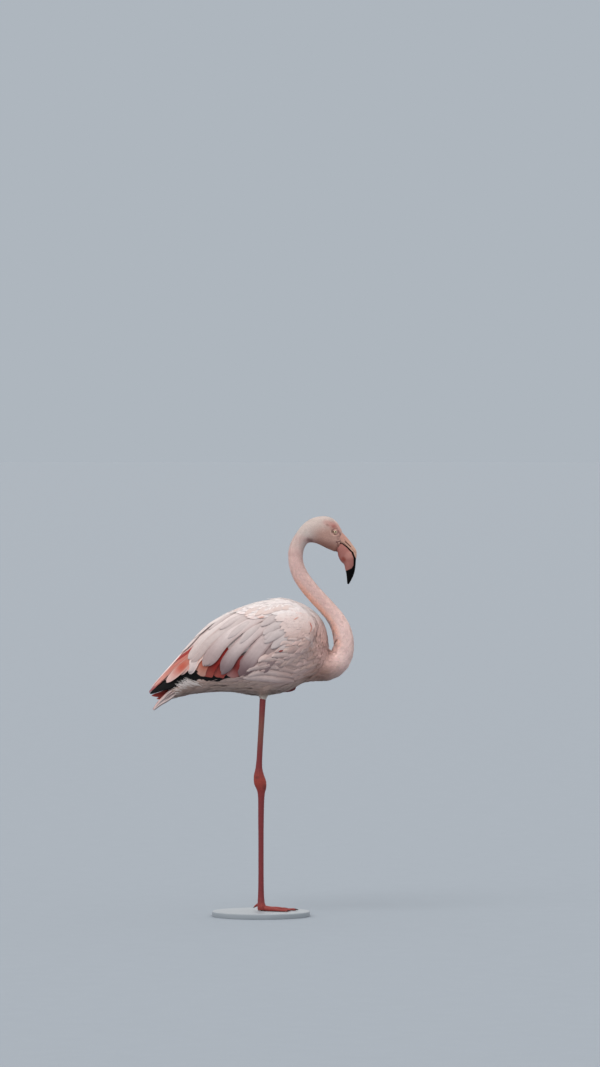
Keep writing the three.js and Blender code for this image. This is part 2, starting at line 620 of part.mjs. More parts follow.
const heelRoom = limb(HEEL, { grow: GAP });
const shank = cut(limb(SHANK), heelRoom, standingFoot(GAP));
place('shin_right', cut(limb(SHIN), thighRoom, heelRoom), 'leg');
place('heel_right', limb(HEEL), 'joint');
place('shank_right', shank, 'leg');
place('foot_right', standingFoot(), 'leg');
for (const each of TOES) place(`claw_right_${each.name}`, claw(each), 'claw');

place('shin_left', cut(tucked.shin, tuckedRoom.heel, tuckedRoom.shank), 'leg');
place('heel_left', cut(tucked.heel, tuckedRoom.shank), 'joint');
place('shank_left', tucked.shank, 'leg');
place('foot_left', cut(tucked.toes, tuckedRoom.shank), 'leg');

export default object;
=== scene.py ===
"""A greater flamingo at rest on its right leg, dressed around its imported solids.

The solids give the bird's form out to the tips of its feathers. One skin lies inside them by the depth
of the coat, and the feathers are thin closed vanes that are laid over it, each along the lie of the
plumage. Sizes in the fields are millimetres from the middle of the bird's sole: +X is ahead, +Y is the
bird's left, +Z is up.
"""

from __future__ import annotations

import json
import logging
import math
from dataclasses import dataclass
from enum import Enum
from itertools import pairwise

import bpy
import numpy as np
from bpy.types import Material, Node, NodeSocket, NodeTree, Object
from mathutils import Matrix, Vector
from mathutils.bvhtree import BVHTree
from mathutils.kdtree import KDTree

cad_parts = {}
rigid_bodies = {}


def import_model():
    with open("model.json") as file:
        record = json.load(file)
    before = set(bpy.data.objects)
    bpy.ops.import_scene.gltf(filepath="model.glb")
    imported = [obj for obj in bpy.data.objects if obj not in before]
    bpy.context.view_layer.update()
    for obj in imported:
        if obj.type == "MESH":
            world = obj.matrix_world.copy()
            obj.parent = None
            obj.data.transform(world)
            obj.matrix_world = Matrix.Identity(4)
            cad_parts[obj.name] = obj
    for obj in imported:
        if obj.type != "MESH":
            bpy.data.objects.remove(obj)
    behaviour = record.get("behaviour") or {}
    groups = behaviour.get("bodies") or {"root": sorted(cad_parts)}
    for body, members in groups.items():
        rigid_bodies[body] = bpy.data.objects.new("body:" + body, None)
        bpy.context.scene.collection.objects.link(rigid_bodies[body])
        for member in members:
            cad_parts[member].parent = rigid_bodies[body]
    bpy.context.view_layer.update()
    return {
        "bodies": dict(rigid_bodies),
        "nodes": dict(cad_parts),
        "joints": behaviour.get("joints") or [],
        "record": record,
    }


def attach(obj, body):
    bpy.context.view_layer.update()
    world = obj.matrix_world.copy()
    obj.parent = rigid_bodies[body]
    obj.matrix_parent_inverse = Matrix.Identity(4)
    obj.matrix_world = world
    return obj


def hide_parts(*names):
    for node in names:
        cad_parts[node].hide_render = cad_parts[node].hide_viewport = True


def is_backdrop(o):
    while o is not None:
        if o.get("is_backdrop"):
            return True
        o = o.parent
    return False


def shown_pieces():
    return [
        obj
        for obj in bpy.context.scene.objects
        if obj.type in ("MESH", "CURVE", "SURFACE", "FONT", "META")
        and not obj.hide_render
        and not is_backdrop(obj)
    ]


Array = np.ndarray
Chance = np.random.Generator
Triple = tuple[float, float, float]
Line = tuple[tuple[float, float], ...]  # places seen from the side, as x and z
MM = 0.001
SEED = 11
LIFT = np.array([0.0, 0.0, 12.35])  # the sole's place above the floor, on the base
DOME = (0.4, 0.8, 1.15, 1.4)  # how far round a dome each of its rings lies, in radians
NECK = ("neck_1", "neck_2", "neck_3", "neck_4")
LOG = logging.getLogger("flamingo")


class Side(Enum):
    """The bird's sides, by the sign of y."""

    RIGHT = -1
    LEFT = 1


# ---------------------------------------------------------------- small helpers
def linear(colour: str) -> tuple[float, float, float, float]:
    """Turn an sRGB hex colour such as "e8d8d4" into linear RGBA.

    Args:
        colour: Six hex digits.

    Returns:
        The colour in linear light, with an alpha of 1.
    """
    parts = [int(colour[i : i + 2], 16) / 255 for i in (0, 2, 4)]
    light = [c / 12.92 if c <= 0.04045 else ((c + 0.055) / 1.055) ** 2.4 for c in parts]
    return (*light, 1.0)


def rgb(colour: str) -> Array:
    """Return an sRGB hex colour as a linear RGB array."""
    return np.array(linear(colour)[:3])


def smooth(x: Array | float, low: float, high: float) -> Array:
    """Rise smoothly from 0 at low to 1 at high.

    Args:
        x: The values.
        low: Where the rise starts.
        high: Where it ends. It may be less than low.

    Returns:
        The shares, from 0 to 1.
    """
    t = np.clip((np.asarray(x, dtype=float) - low) / (high - low), 0.0, 1.0)
    return t * t * (3 - 2 * t)


def unit(v: Array) -> Array:
    """Scale vectors along the last axis to length 1."""
    return v / np.maximum(np.linalg.norm(v, axis=-1, keepdims=True), 1e-9)


def circle(count: int) -> Array:
    """Return angles evenly spaced round a circle, in radians."""
    return np.arange(count) / count * math.tau


def ahead_of(degrees: float) -> Array:
    """Return the level unit vector that is turned this many degrees to the left of ahead."""
    return np.array([math.cos(math.radians(degrees)), math.sin(math.radians(degrees)), 0.0])


def catmull(points: Array, u: Array) -> Array:
    """Read a centripetal Catmull-Rom path.

    Args:
        points: Control points, one per row.
        u: Places on the path, from 0 to the last point's index.

    Returns:
        One row per place.
    """
    p = np.asarray(points, dtype=float)
    padded = np.vstack([2 * p[0] - p[1], p, 2 * p[-1] - p[-2]])
    u = np.clip(np.asarray(u, dtype=float), 0, len(p) - 1)
    i = np.minimum(u.astype(int), len(p) - 2)
    w = (u - i)[..., None]
    a, b, c, d = (padded[i + k] for k in range(4))
    ta, tb, tc = (
        np.maximum(np.linalg.norm(n - m, axis=-1, keepdims=True) ** 0.5, 1e-6)
        for m, n in ((a, b), (b, c), (c, d))
    )
    out = ((b - a) / ta - (c - a) / (ta + tb) + (c - b) / tb) * tb
    into = ((c - b) / tb - (d - b) / (tb + tc) + (d - c) / tc) * tb
    return b + out * w + (3 * (c - b) - 2 * out - into) * w**2 + (2 * (b - c) + out + into) * w**3


def deselect() -> None:
    """Leave object mode with nothing selected."""
    if bpy.context.mode != "OBJECT":
        bpy.ops.object.mode_set(mode="OBJECT")
    bpy.ops.object.select_all(action="DESELECT")


def pick(thing: Object) -> None:
    """Make one object the active and only selected one.

    Args:
        thing: The object.
    """
    deselect()
    thing.select_set(True)
    bpy.context.view_layer.objects.active = thing


def mesh_object(name: str, points: Array, quads: Array) -> Object:
    """Make an object from points in the bird's millimetres and faces of four corners.

    Args:
        name: The object's name.
        points: One row of x, y, z for each vertex.
        quads: One row of four vertex numbers for each face. A triangle repeats its last corner.

    Returns:
        The new object, in the scene.
    """
    mesh = bpy.data.meshes.new(name)
    triangle = quads[:, 2] == quads[:, 3]
    size = np.where(triangle, 3, 4)
    keep = np.ones(quads.shape, dtype=bool)
    keep[:, 3] = ~triangle
    loops = quads[keep]
    starts = np.concatenate([[0], np.cumsum(size)[:-1]])
    mesh.vertices.add(len(points))
    mesh.vertices.foreach_set("co", ((np.asarray(points) + LIFT) * MM).astype(np.float32).ravel())
    mesh.loops.add(len(loops))
    mesh.loops.foreach_set("vertex_index", loops.astype(np.int32))
    mesh.polygons.add(len(quads))
    mesh.polygons.foreach_set("loop_start", starts.astype(np.int32))
    mesh.update(calc_edges=True)
    mesh.validate()
    thing = bpy.data.objects.new(name, mesh)
    bpy.context.scene.collection.objects.link(thing)
    return thing


def read(items: bpy.types.bpy_prop_collection, key: str, width: int, kind: type = np.float32) -> Array:
    """Read a value of each item of a mesh, such as the places of its vertices.

    Args:
        items: The mesh's vertices, edges or the like.
        key: The value's name.
        width: How many numbers it has.
        kind: The numbers' type.

    Returns:
        One row for each item.
    """
    flat = np.empty(len(items) * width, dtype=kind)
    items.foreach_get(key, flat)
    return flat.reshape(-1, width)


def points_of(thing: Object) -> Array:
    """Return an object's vertices in the bird's millimetres, one row each."""
    return read(thing.data.vertices, "co", 3).astype(float) / MM - LIFT


def normals_of(thing: Object) -> Array:
    """Return an object's vertex normals, one row each."""
    return read(thing.data.vertex_normals, "vector", 3).astype(float)


def triangles_of(thing: Object) -> Array:
    """Return the vertex numbers of an object's triangles, one row each."""
    thing.data.calc_loop_triangles()
    return read(thing.data.loop_triangles, "vertices", 3, np.int32)


def set_points(thing: Object, points: Array) -> None:
    """Move an object's vertices to points in the bird's millimetres."""
    thing.data.vertices.foreach_set("co", ((points + LIFT) * MM).astype(np.float32).ravel())
    thing.data.update()


def swell(thing: Object, points: Array, far: Array) -> None:
    """Move an object's vertices from these points along their normals, each by its own distance."""
    set_points(thing, points + normals_of(thing) * far[:, None])


def apply_modifier(thing: Object, kind: str, **settings: object) -> None:
    """Add a modifier with its settings and apply it.

    Args:
        thing: The object.
        kind: The modifier's type.
        **settings: Its settings, by name.
    """
    pick(thing)
    modifier = thing.modifiers.new(kind.title(), kind)
    for key, value in settings.items():
        setattr(modifier, key, value)
    bpy.ops.object.modifier_apply(modifier=modifier.name)


def grid_faces(rows: int, columns: int, wrap: bool) -> Array:
    """List the quads of a grid of points, row by row.

    Args:
        rows: The number of rows.
        columns: The number of points in a row.
        wrap: Whether each row closes on itself.

    Returns:
        One row of four vertex numbers for each quad.
    """
    i, j = np.meshgrid(np.arange(rows - 1), np.arange(columns if wrap else columns - 1), indexing="ij")
    i, j = i.ravel(), j.ravel()
    k = (j + 1) % columns
    near, far = i * columns, (i + 1) * columns
    return np.stack([near + j, far + j, far + k, near + k], axis=1)


# ---------------------------------------------------------------- sections seen from the side
@dataclass(frozen=True)
class Profile:
    """A form given by sections seen from the side: top, bottom, half width, and how far up it is widest."""

    tops: Line
    bottoms: Line
    halves: tuple[float, ...]
    widest: tuple[float, ...]

    @property
    def last(self) -> int:
        """Return the last section's number."""
        return len(self.tops) - 1

    def sections(self, u: Array) -> tuple[Array, Array, Array, Array]:
        """Read the tops, bottoms, half widths and widest shares at places along the form.

        Args:
            u: Places, from 0 to the last section's number.

        Returns:
            Four arrays with a row or value for each place.
        """
        table = np.array([*zip(self.halves, self.widest)])
        i = np.minimum(np.asarray(u, dtype=float).astype(int), self.last - 1)
        w = (u - i)[..., None]
        padded = np.vstack([table[0], table, table[-1]])
        a, b, c, d = (padded[i + k] for k in range(4))
        sizes = b + 0.5 * w * (c - a + w * (2 * a - 5 * b + 4 * c - d + w * (3 * (b - c) + d - a)))
        return catmull(self.tops, u), catmull(self.bottoms, u), sizes[..., 0], sizes[..., 1]

    def place(self, u: Array, angle: Array, grow: Array | float = 0.0) -> Array:
        """Give points of the form: an angle of -90 degrees is its bottom, 0 its left side and 90 its top.

        Args:
            u: Places along the form.
            angle: Angles round the sections, in radians.
            grow: How far outside the form each point lies.

        Returns:
            One row of x, y, z for each place.
        """
        tops, bottoms, half, widest = self.sections(u)
        up = unit(tops - bottoms)
        height = np.sin(angle)
        rise = widest + height * np.where(height < 0, widest, 1 - widest)
        span = np.linalg.norm(tops - bottoms, axis=-1)
        flat = bottoms + up * (rise * (span + 2 * grow) - grow)[..., None]
        return np.stack([flat[..., 0], (half + grow) * np.cos(angle), flat[..., 1]], axis=-1)

    def locate(self, spots: Array) -> tuple[Array, Array]:
        """Find where points seen from the side lie on the form.

        Args:
            spots: One row of x, z for each point.

        Returns:
            The place along the form and the angle (from -90 to 90 degrees) of each point.
        """
        low = np.zeros(len(spots))
        high = np.full(len(spots), float(self.last))
        for _ in range(26):
            middle = (low + high) / 2
            tops, bottoms, _, _ = self.sections(middle)
            up = tops - bottoms
            ahead = (spots[:, 0] - bottoms[:, 0]) * up[:, 1] - (spots[:, 1] - bottoms[:, 1]) * up[:, 0] > 0
            low, high = np.where(ahead, middle, low), np.where(ahead, high, middle)
        u = (low + high) / 2
        tops, bottoms, _, widest = self.sections(u)
        up = tops - bottoms
        rise = np.clip(((spots - bottoms) * up).sum(1) / (up**2).sum(1), 0.0, 1.0)
        off = (rise - widest) / np.where(rise < widest, widest, 1 - widest)
        return u, np.arcsin(np.clip(off, -0.985, 0.985))

    def normal(self, u: Array, angle: Array) -> Array:
        """Find which way is outward at points of the form.

        Args:
            u: Places along the form.
            angle: Angles round the sections, in radians.

        Returns:
            One unit row for each point.
        """
        step = 0.03
        after, before = (self.place(np.clip(u + way, 0, self.last), angle) for way in (step, -step))
        around = self.place(u, angle + step) - self.place(u, angle - step)
        return unit(np.cross(around, after - before))

    def rows(self, rings: int, sides: int, grow: float = 0.0) -> Array:
        """Give the whole form as rings of points, from its first section to its last.

        Args:
            rings: The number of rings.
            sides: The points in a ring.
            grow: How far outside the form the points lie.

        Returns:
            An array of rings by sides by 3.
        """
        u, angle = np.meshgrid(np.linspace(0, self.last, rings), circle(sides), indexing="ij")
        return self.place(u, angle, grow)


@dataclass(frozen=True)
class Limb:
    """Round sections across a smooth path: x, y, z, half the depth and half the width of each."""

    stations: tuple[tuple[float, float, float, float, float], ...]

    def rows(self, rings: int, sides: int, start: float = 0.0, end: float = 1.0) -> Array:
        """Give the limb as rings of points.

        Args:
            rings: The number of rings.
            sides: The points in a ring.
            start: Where on the path the first ring is, from 0 to 1.
            end: Where the last ring is.

        Returns:
            An array of rings by sides by 3.
        """
        table = np.array(self.stations)
        last = len(table) - 1
        u = np.linspace(start, end, rings) * last
        centres = catmull(table[:, :3], u)
        sizes = catmull(table[:, 3:], u)
        along = unit(catmull(table[:, :3], u + 0.02) - catmull(table[:, :3], u - 0.02))
        across = np.array([0.0, 1.0, 0.0]) - along * along[:, 1:2]
        wide = unit(across)
        deep = np.cross(wide, along)
        angle = circle(sides)[None, :, None]
        out = wide[:, None] * (sizes[:, 1:2, None] * np.cos(angle))
        return centres[:, None] + (out + deep[:, None] * (sizes[:, 0:1, None] * np.sin(angle)))


def closed_form(name: str, rows: Array, start: float = 0.0, end: float = 0.0) -> Object:
    """Make a closed object from rings of points, with a dome or a flat fan on each end.

    Args:
        name: The object's name.
        rows: Rings by sides by 3.
        start: How far the first ring's dome bulges.
        end: How far the last ring's dome bulges.

    Returns:
        The new object.
    """
    rows = np.asarray(rows, dtype=float)
    for bulge, flip in ((start, True), (end, False)):
        if not bulge:
            continue
        ordered = rows[::-1] if flip else rows
        middle = ordered[-1].mean(0)
        out = unit(middle - ordered[-2].mean(0))
        rim = ordered[-1] - middle
        domes = [middle + rim * math.cos(a) + out * bulge * math.sin(a) for a in DOME]
        ordered = np.concatenate([ordered, np.array(domes)])
        rows = ordered[::-1] if flip else ordered
    rings, sides, _ = rows.shape
    points = np.vstack([rows.reshape(-1, 3), rows[0].mean(0), rows[-1].mean(0)])
    faces = grid_faces(rings, sides, wrap=True)
    ring = np.arange(sides)
    after = (ring + 1) % sides
    first, final = rings * sides, rings * sides + 1
    foot = (rings - 1) * sides
    caps = [
        np.stack([np.full(sides, first), ring, after, after], axis=1),
        np.stack([foot + ring, np.full(sides, final), foot + after, foot + after], axis=1),
    ]
    thing = mesh_object(name, points, np.vstack([faces, *caps]))
    pick(thing)
    bpy.ops.object.mode_set(mode="EDIT")
    bpy.ops.mesh.select_all(action="SELECT")
    bpy.ops.mesh.normals_make_consistent(inside=False)
    bpy.ops.object.mode_set(mode="OBJECT")
    return thing


def join(things: list[Object], name: str) -> Object:
    """Join objects into one with this name.

    Args:
        things: The objects.
        name: The name of the object that is left.

    Returns:
        The joined object.
    """
    deselect()
    for thing in things:
        thing.select_set(True)
    bpy.context.view_layer.objects.active = things[0]
    if len(things) > 1:
        bpy.ops.object.join()
    joined = bpy.context.view_layer.objects.active
    joined.name = name
    joined.data.name = name
    return joined


def melt(thing: Object, voxel: float, rounds: int) -> Object:
    """Turn overlapping forms into one even skin.

    Args:
        thing: The object.
        voxel: The size of the new faces, in mm.
        rounds: How often the skin is then smoothed.

    Returns:
        The same object.
    """
    apply_modifier(thing, "REMESH", mode="VOXEL", voxel_size=voxel * MM, use_smooth_shade=True)
    if rounds:
        apply_modifier(thing, "SMOOTH", factor=0.5, iterations=rounds)
    return thing


def smooth_shade(thing: Object) -> None:
    """Shade an object smooth."""
    pick(thing)
    bpy.ops.object.shade_smooth()


def paint(thing: Object, **values: Array) -> None:
    """Store values on an object's vertices: colours where a value has three numbers, else plain numbers.

    Args:
        thing: The object.
        **values: Arrays with a row for each vertex, by the attribute's name.
    """
    for name, rows in values.items():
        if rows.ndim == 2:
            layer = thing.data.attributes.new(name, "FLOAT_COLOR", "POINT")
            rgba = np.ones((len(rows), 4), dtype=np.float32)
            rgba[:, :3] = np.clip(rows, 0.0, 1.0)
            layer.data.foreach_set("color", rgba.ravel())
        else:
            layer = thing.data.attributes.new(name, "FLOAT", "POINT")
            layer.data.foreach_set("value", rows.astype(np.float32))


def bake_map(thing: Object, places: Array) -> None:
    """Give an object the map that its colours are baked through.

    Args:
        thing: The object.
        places: One row of u, v for each vertex.
    """
    corners = read(thing.data.loops, "vertex_index", 1, np.int32)[:, 0]
    layer = thing.data.uv_layers.new(name="OFBake")
    layer.data.foreach_set("uv", np.clip(places, 0.001, 0.999)[corners].astype(np.float32).ravel())


# ---------------------------------------------------------------- finishes
def add(tree: NodeTree, kind: str, settings: dict | None = None, links: dict | None = None) -> Node:
    """Add a node with its settings and links.

    Args:
        tree: The material's or world's node tree.
        kind: The node's type, without the word ShaderNode.
        settings: Values by the name or number of the input, or by the name of the node's own property.
        links: Output sockets by the name or number of the input that they go to.

    Returns:
        The new node.
    """
    node = tree.nodes.new(f"ShaderNode{kind}")
    for key, value in (settings or {}).items():
        if isinstance(key, int) or key in node.inputs:
            node.inputs[key].default_value = value
        else:
            setattr(node, key, value)
    for key, socket in (links or {}).items():
        tree.links.new(socket, node.inputs[key])
    return node


def dress(thing: Object, material: Material) -> None:
    """Give an object one material."""
    thing.data.materials.clear()
    thing.data.materials.append(material)


# A noise node's values lie mostly in this span. It is turned into shares of the full tone.
NOISE_SPAN = {"From Min": 0.3, "From Max": 0.7, "To Max": 1.0}


@dataclass(frozen=True)
class Finish:
    """What the finishes share: a colour that fine patterns darken, over a small relief. Lengths in mm."""

    name: str
    colour: str = ""  # one colour all over, or none where each point has a tint of its own
    roughness: float = 0.5
    relief: float = 0.05
    strength: float = 0.4  # how much the relief turns the light

    def pattern(self, tree: NodeTree, place: NodeSocket) -> tuple[Node, NodeSocket | None, dict, dict]:
        """Add the finish's own nodes.

        Args:
            tree: The material's nodes.
            place: Each point's place on the object.

        Returns:
            The node that darkens the colour, the relief's height, and the shader's settings and links.
        """
        raise NotImplementedError

    def make(self) -> Material:
        """Build the material, or return it where it is there already."""
        if self.name in bpy.data.materials:
            return bpy.data.materials[self.name]
        material = bpy.data.materials.new(self.name)
        material.use_nodes = True
        tree = material.node_tree
        tree.nodes.clear()
        shade, height, settings, links = self.pattern(tree, add(tree, "TexCoord").outputs["Object"])
        mix, ends = {"data_type": "RGBA", "blend_type": "MULTIPLY", 0: 1.0}, {7: shade.outputs[0]}
        if self.colour:
            mix[6] = linear(self.colour)
        else:
            ends[6] = add(tree, "Attribute", {"attribute_name": "tint"}).outputs["Color"]
        links["Base Color"] = add(tree, "Mix", mix, ends).outputs[2]
        if height:
            bump = {"Strength": self.strength, "Distance": self.relief * MM}
            links["Normal"] = add(tree, "Bump", bump, {"Height": height}).outputs[0]
        shader = add(tree, "BsdfPrincipled", settings, links)
        add(tree, "OutputMaterial", None, {"Surface": shader.outputs[0]})
        return material


# Feather is matt keratin in fine ribs: soft to the eye, paler at a grazing angle, and never glossy.
@dataclass(frozen=True)
class PlumageFinish(Finish):
    """Feather vanes, whose barbs run out from the shaft. The ribs are coarser than life, so as to show."""

    roughness: float = 0.72
    relief: float = 0.06
    strength: float = 0.5
    sheen: float = 0.08  # the pale bloom that soft plumage has at its edges
    barb: float = 0.9  # from one barb to the next
    mottle: float = 0.10
    cloud: float = 9.0  # across one uneven patch

    def pattern(self, tree: NodeTree, place: NodeSocket) -> tuple[Node, NodeSocket | None, dict, dict]:
        """Add the ribs of the barbs, which break the light, and the uneven tone of worn feathers.

        Args:
            tree: The material's nodes.
            place: Each point's place on the object.

        Returns:
            The darkening node, the relief's height, and the shader's settings and links.
        """
        barb = add(tree, "Attribute", {"attribute_name": "barb"})
        noise = {"Scale": 1 / (self.cloud * MM), "Detail": 4.0, "Roughness": 0.6}
        cloud = add(tree, "TexNoise", noise, {"Vector": place})
        tone = {**NOISE_SPAN, "To Min": 1 - self.mottle}
        shade = add(tree, "MapRange", tone, {"Value": cloud.outputs["Fac"]})
        rate = {"operation": "MULTIPLY", 1: math.tau / self.barb}
        turns = add(tree, "Math", rate, {0: barb.outputs["Fac"]})
        wave = add(tree, "Math", {"operation": "SINE"}, {0: turns.outputs[0]})
        rib = add(tree, "MapRange", {"From Min": -1.0, "To Min": 0.94}, {"Value": wave.outputs[0]})
        both = add(tree, "Math", {"operation": "MULTIPLY"}, {0: shade.outputs[0], 1: rib.outputs[0]})
        look = {"Roughness": self.roughness, "Sheen Weight": self.sheen, "Sheen Roughness": 0.5}
        return both, wave.outputs[0], {**look, "Specular IOR Level": 0.12}, {}


# Skin is waxy and half matt. The lines between its scales or pores are darker, which makes it look dry
# and firm.
@dataclass(frozen=True)
class SkinFinish(Finish):
    """Bare or downy skin, with small scales or pores."""

    roughness: float = 0.6
    relief: float = 0.12
    strength: float = 0.6
    scale: float = 1.6  # across one scale or pore
    crevice: float = 0.25  # how much darker the lines between the scales are
    sheen: float = 0.0
    wear: float = 6.0  # across one worn patch

    def pattern(self, tree: NodeTree, place: NodeSocket) -> tuple[Node, NodeSocket | None, dict, dict]:
        """Add the scales with their crevices, and worn patches.

        Args:
            tree: The material's nodes.
            place: Each point's place on the object.

        Returns:
            The darkening node, the relief's height, and the shader's settings and links.
        """
        warp = add(tree, "TexNoise", {"Scale": 1 / (self.wear * MM), "Detail": 3.0}, {"Vector": place})
        cells = {"feature": "DISTANCE_TO_EDGE", "Scale": 1 / (self.scale * MM)}
        edge = add(tree, "TexVoronoi", cells, {"Vector": place})
        plate = add(tree, "MapRange", {"From Max": 0.22}, {"Value": edge.outputs["Distance"]})
        shade = add(tree, "MapRange", {"To Min": 1 - self.crevice}, {"Value": plate.outputs[0]})
        worn = add(tree, "MapRange", {**NOISE_SPAN, "To Min": 0.86}, {"Value": warp.outputs["Fac"]})
        both = add(tree, "Math", {"operation": "MULTIPLY"}, {0: shade.outputs[0], 1: worn.outputs[0]})
        height = add(tree, "Math", {"operation": "MULTIPLY"}, {0: plate.outputs[0], 1: worn.outputs[0]})
        look = {"Roughness": self.roughness, "Sheen Weight": self.sheen, "Specular IOR Level": 0.4}
        return both, height.outputs[0], look, {}


# Horn is smooth and close-grained. It has a dull, uneven polish and slight blotches, like a worn nail.
@dataclass(frozen=True)
class HornFinish(Finish):
    """The smooth horn of a bill or a claw, with a faint grain."""

    roughness: float = 0.52
    grain: float = 1.4
    blotch: float = 7.0
    gloss: float = 0.04

    def pattern(self, tree: NodeTree, place: NodeSocket) -> tuple[Node, NodeSocket | None, dict, dict]:
        """Add the grain, which also dulls the polish, and the blotches.

        Args:
            tree: The material's nodes.
            place: Each point's place on the object.

        Returns:
            The darkening node, the relief's height, and the shader's settings and links.
        """
        noise = {"Scale": 1 / (self.grain * MM), "Detail": 5.0, "Roughness": 0.55}
        grain = add(tree, "TexNoise", noise, {"Vector": place}).outputs["Fac"]
        blotch = add(tree, "TexNoise", {"Scale": 1 / (self.blotch * MM), "Detail": 2.0}, {"Vector": place})
        shade = add(tree, "MapRange", {**NOISE_SPAN, "To Min": 0.88}, {"Value": blotch.outputs["Fac"]})
        span = {**NOISE_SPAN, "To Min": self.roughness - 0.06, "To Max": self.roughness + 0.1}
        polish = add(tree, "MapRange", span, {"Value": grain})
        return shade, grain, {"Specular IOR Level": self.gloss}, {"Roughness": polish.outputs[0]}


# An eye is wet: its clear cornea gives a small sharp highlight over the duller, fibrous iris.
@dataclass(frozen=True)
class EyeFinish(Finish):
    """A wet eye: the painted iris lies under a clear, glossy cornea."""

    roughness: float = 0.35
    fibre: float = 0.35

    def pattern(self, tree: NodeTree, place: NodeSocket) -> tuple[Node, NodeSocket | None, dict, dict]:
        """Add the fibres of the iris, and the cornea as a coat.

        Args:
            tree: The material's nodes.
            place: Each point's place on the object.

        Returns:
            The darkening node, the relief's height, and the shader's settings and links.
        """
        fibre = add(tree, "TexNoise", {"Scale": 1 / (self.fibre * MM), "Detail": 4.0}, {"Vector": place})
        shade = add(tree, "MapRange", {**NOISE_SPAN, "To Min": 0.8}, {"Value": fibre.outputs["Fac"]})
        look = {"Roughness": self.roughness, "Coat Weight": 1.0, "Coat Roughness": 0.03, "Coat IOR": 1.38}
        return shade, None, look, {}


# Matt paint, rolled on wood or board: even, with a faint orange peel and a little wear in its tone.
@dataclass(frozen=True)
class PaintFinish(Finish):
    """Matt paint over wood or board."""

    speck: float = 2.5
    drift: float = 0.05
    wide: float = 60.0  # across one patch of the drift in tone

    def pattern(self, tree: NodeTree, place: NodeSocket) -> tuple[Node, NodeSocket | None, dict, dict]:
        """Add the orange peel and the drift in tone.

        Args:
            tree: The material's nodes.
            place: Each point's place on the object.

        Returns:
            The darkening node, the relief's height, and the shader's settings and links.
        """
        speck = add(tree, "TexNoise", {"Scale": 1 / (self.speck * MM), "Detail": 3.0}, {"Vector": place})
        drift = add(tree, "TexNoise", {"Scale": 1 / (self.wide * MM), "Detail": 2.0}, {"Vector": place})
        tone = {**NOISE_SPAN, "To Min": 1 - self.drift}
        shade = add(tree, "MapRange", tone, {"Value": drift.outputs["Fac"]})
        return shade, speck.outputs["Fac"], {"Roughness": self.roughness}, {}


# ---------------------------------------------------------------- the bird's line and its markings
@dataclass(frozen=True)
class Spine:
    """The middle line of head, neck, body and tail from the side: x, z and the form's radius there."""

    stations: tuple[Triple, ...] = (
        (176, 832, 20), (150, 850, 30), (122, 857, 30), (98, 848, 24), (84.5, 828, 18), (78, 803, 17),
        (78.3, 784, 17.6), (86, 760, 18.6), (102, 735, 19), (121, 712, 19.2), (141.5, 690, 19.3),
        (162, 667, 20), (176, 645, 21.6), (184, 621, 23.6), (186.5, 596, 24.2), (178, 572, 30),
        (160, 560, 40), (130, 570, 70), (90, 590, 95), (40, 590, 105), (-20, 585, 100), (-80, 572, 80),
        (-140, 545, 55), (-190, 515, 32), (-232, 482, 16),
    )
    steps: int = 12  # samples between one station and the next

    def read(self, points: Array) -> tuple[Array, Array, Array]:
        """Find where points lie along the line.

        Args:
            points: One row of x, y, z for each point.

        Returns:
            The place on the line in stations, the direction tailwards (x, z), and how far each point is to
            the line's left as one looks tailwards, as a share of the radius.
        """
        table = np.array(self.stations)
        u = np.linspace(0, len(table) - 1, self.steps * (len(table) - 1) + 1)
        path = catmull(table, u)
        along = unit(np.gradient(path[:, :2], axis=0))
        place = np.empty(len(points))
        lie = np.empty((len(points), 2))
        side = np.empty(len(points))
        for start in range(0, len(points), 20000):
            part = points[start : start + 20000]
            flat = part[:, [0, 2]]
            gap = (flat[:, None] - path[None, :, :2]) / path[None, :, 2:]
            spread = (gap**2).sum(-1) + 0.3 * (part[:, 1:2] / path[None, :, 2]) ** 2
            weight = np.exp(-2 * (spread - spread.min(1, keepdims=True)))
            weight /= weight.sum(1, keepdims=True)
            near = spread.argmin(1)
            place[start : start + 20000] = u[near]
            lie[start : start + 20000] = unit(weight @ along)
            normal = np.stack([along[near, 1], -along[near, 0]], axis=1)
            side[start : start + 20000] = (gap[np.arange(len(part)), near] * normal).sum(1)
        return place, lie, side


SPINE = Spine()


def spot(points: Array, x: float, z: float, wide: float, high: float, tilt: float = 0.0) -> Array:
    """Weigh how near points are to a soft oval spot, seen from the side.

    Args:
        points: One row of x, y, z for each point.
        x: The spot's middle.
        z: The spot's middle.
        wide: Half its width.
        high: Half its height.
        tilt: How many degrees it is turned, its front end up.

    Returns:
        A weight for each point, from 1 in the middle to 0 outside.
    """
    a = math.radians(tilt)
    dx, dz = points[:, 0] - x, points[:, 2] - z
    along = (dx * math.cos(a) + dz * math.sin(a)) / wide
    across = (dz * math.cos(a) - dx * math.sin(a)) / high
    return 1 - smooth(np.hypot(along, across), 0.35, 1.0)


def streak(points: Array, start: tuple[float, float], end: tuple[float, float], half: float) -> Array:
    """Weigh how near points are to a line between two places, seen from the side.

    Args:
        points: One row of x, y, z for each point.
        start: The line's start, as x and z.
        end: Its end.
        half: How far from the line the weight ends.

    Returns:
        A weight for each point, from 1 on the line to 0.
    """
    a, b = np.array(start), np.array(end)
    flat = points[:, [0, 2]] - a
    t = np.clip(flat @ (b - a) / ((b - a) @ (b - a)), 0.0, 1.0)
    return 1 - smooth(np.linalg.norm(flat - t[:, None] * (b - a), axis=1), 0.0, half)


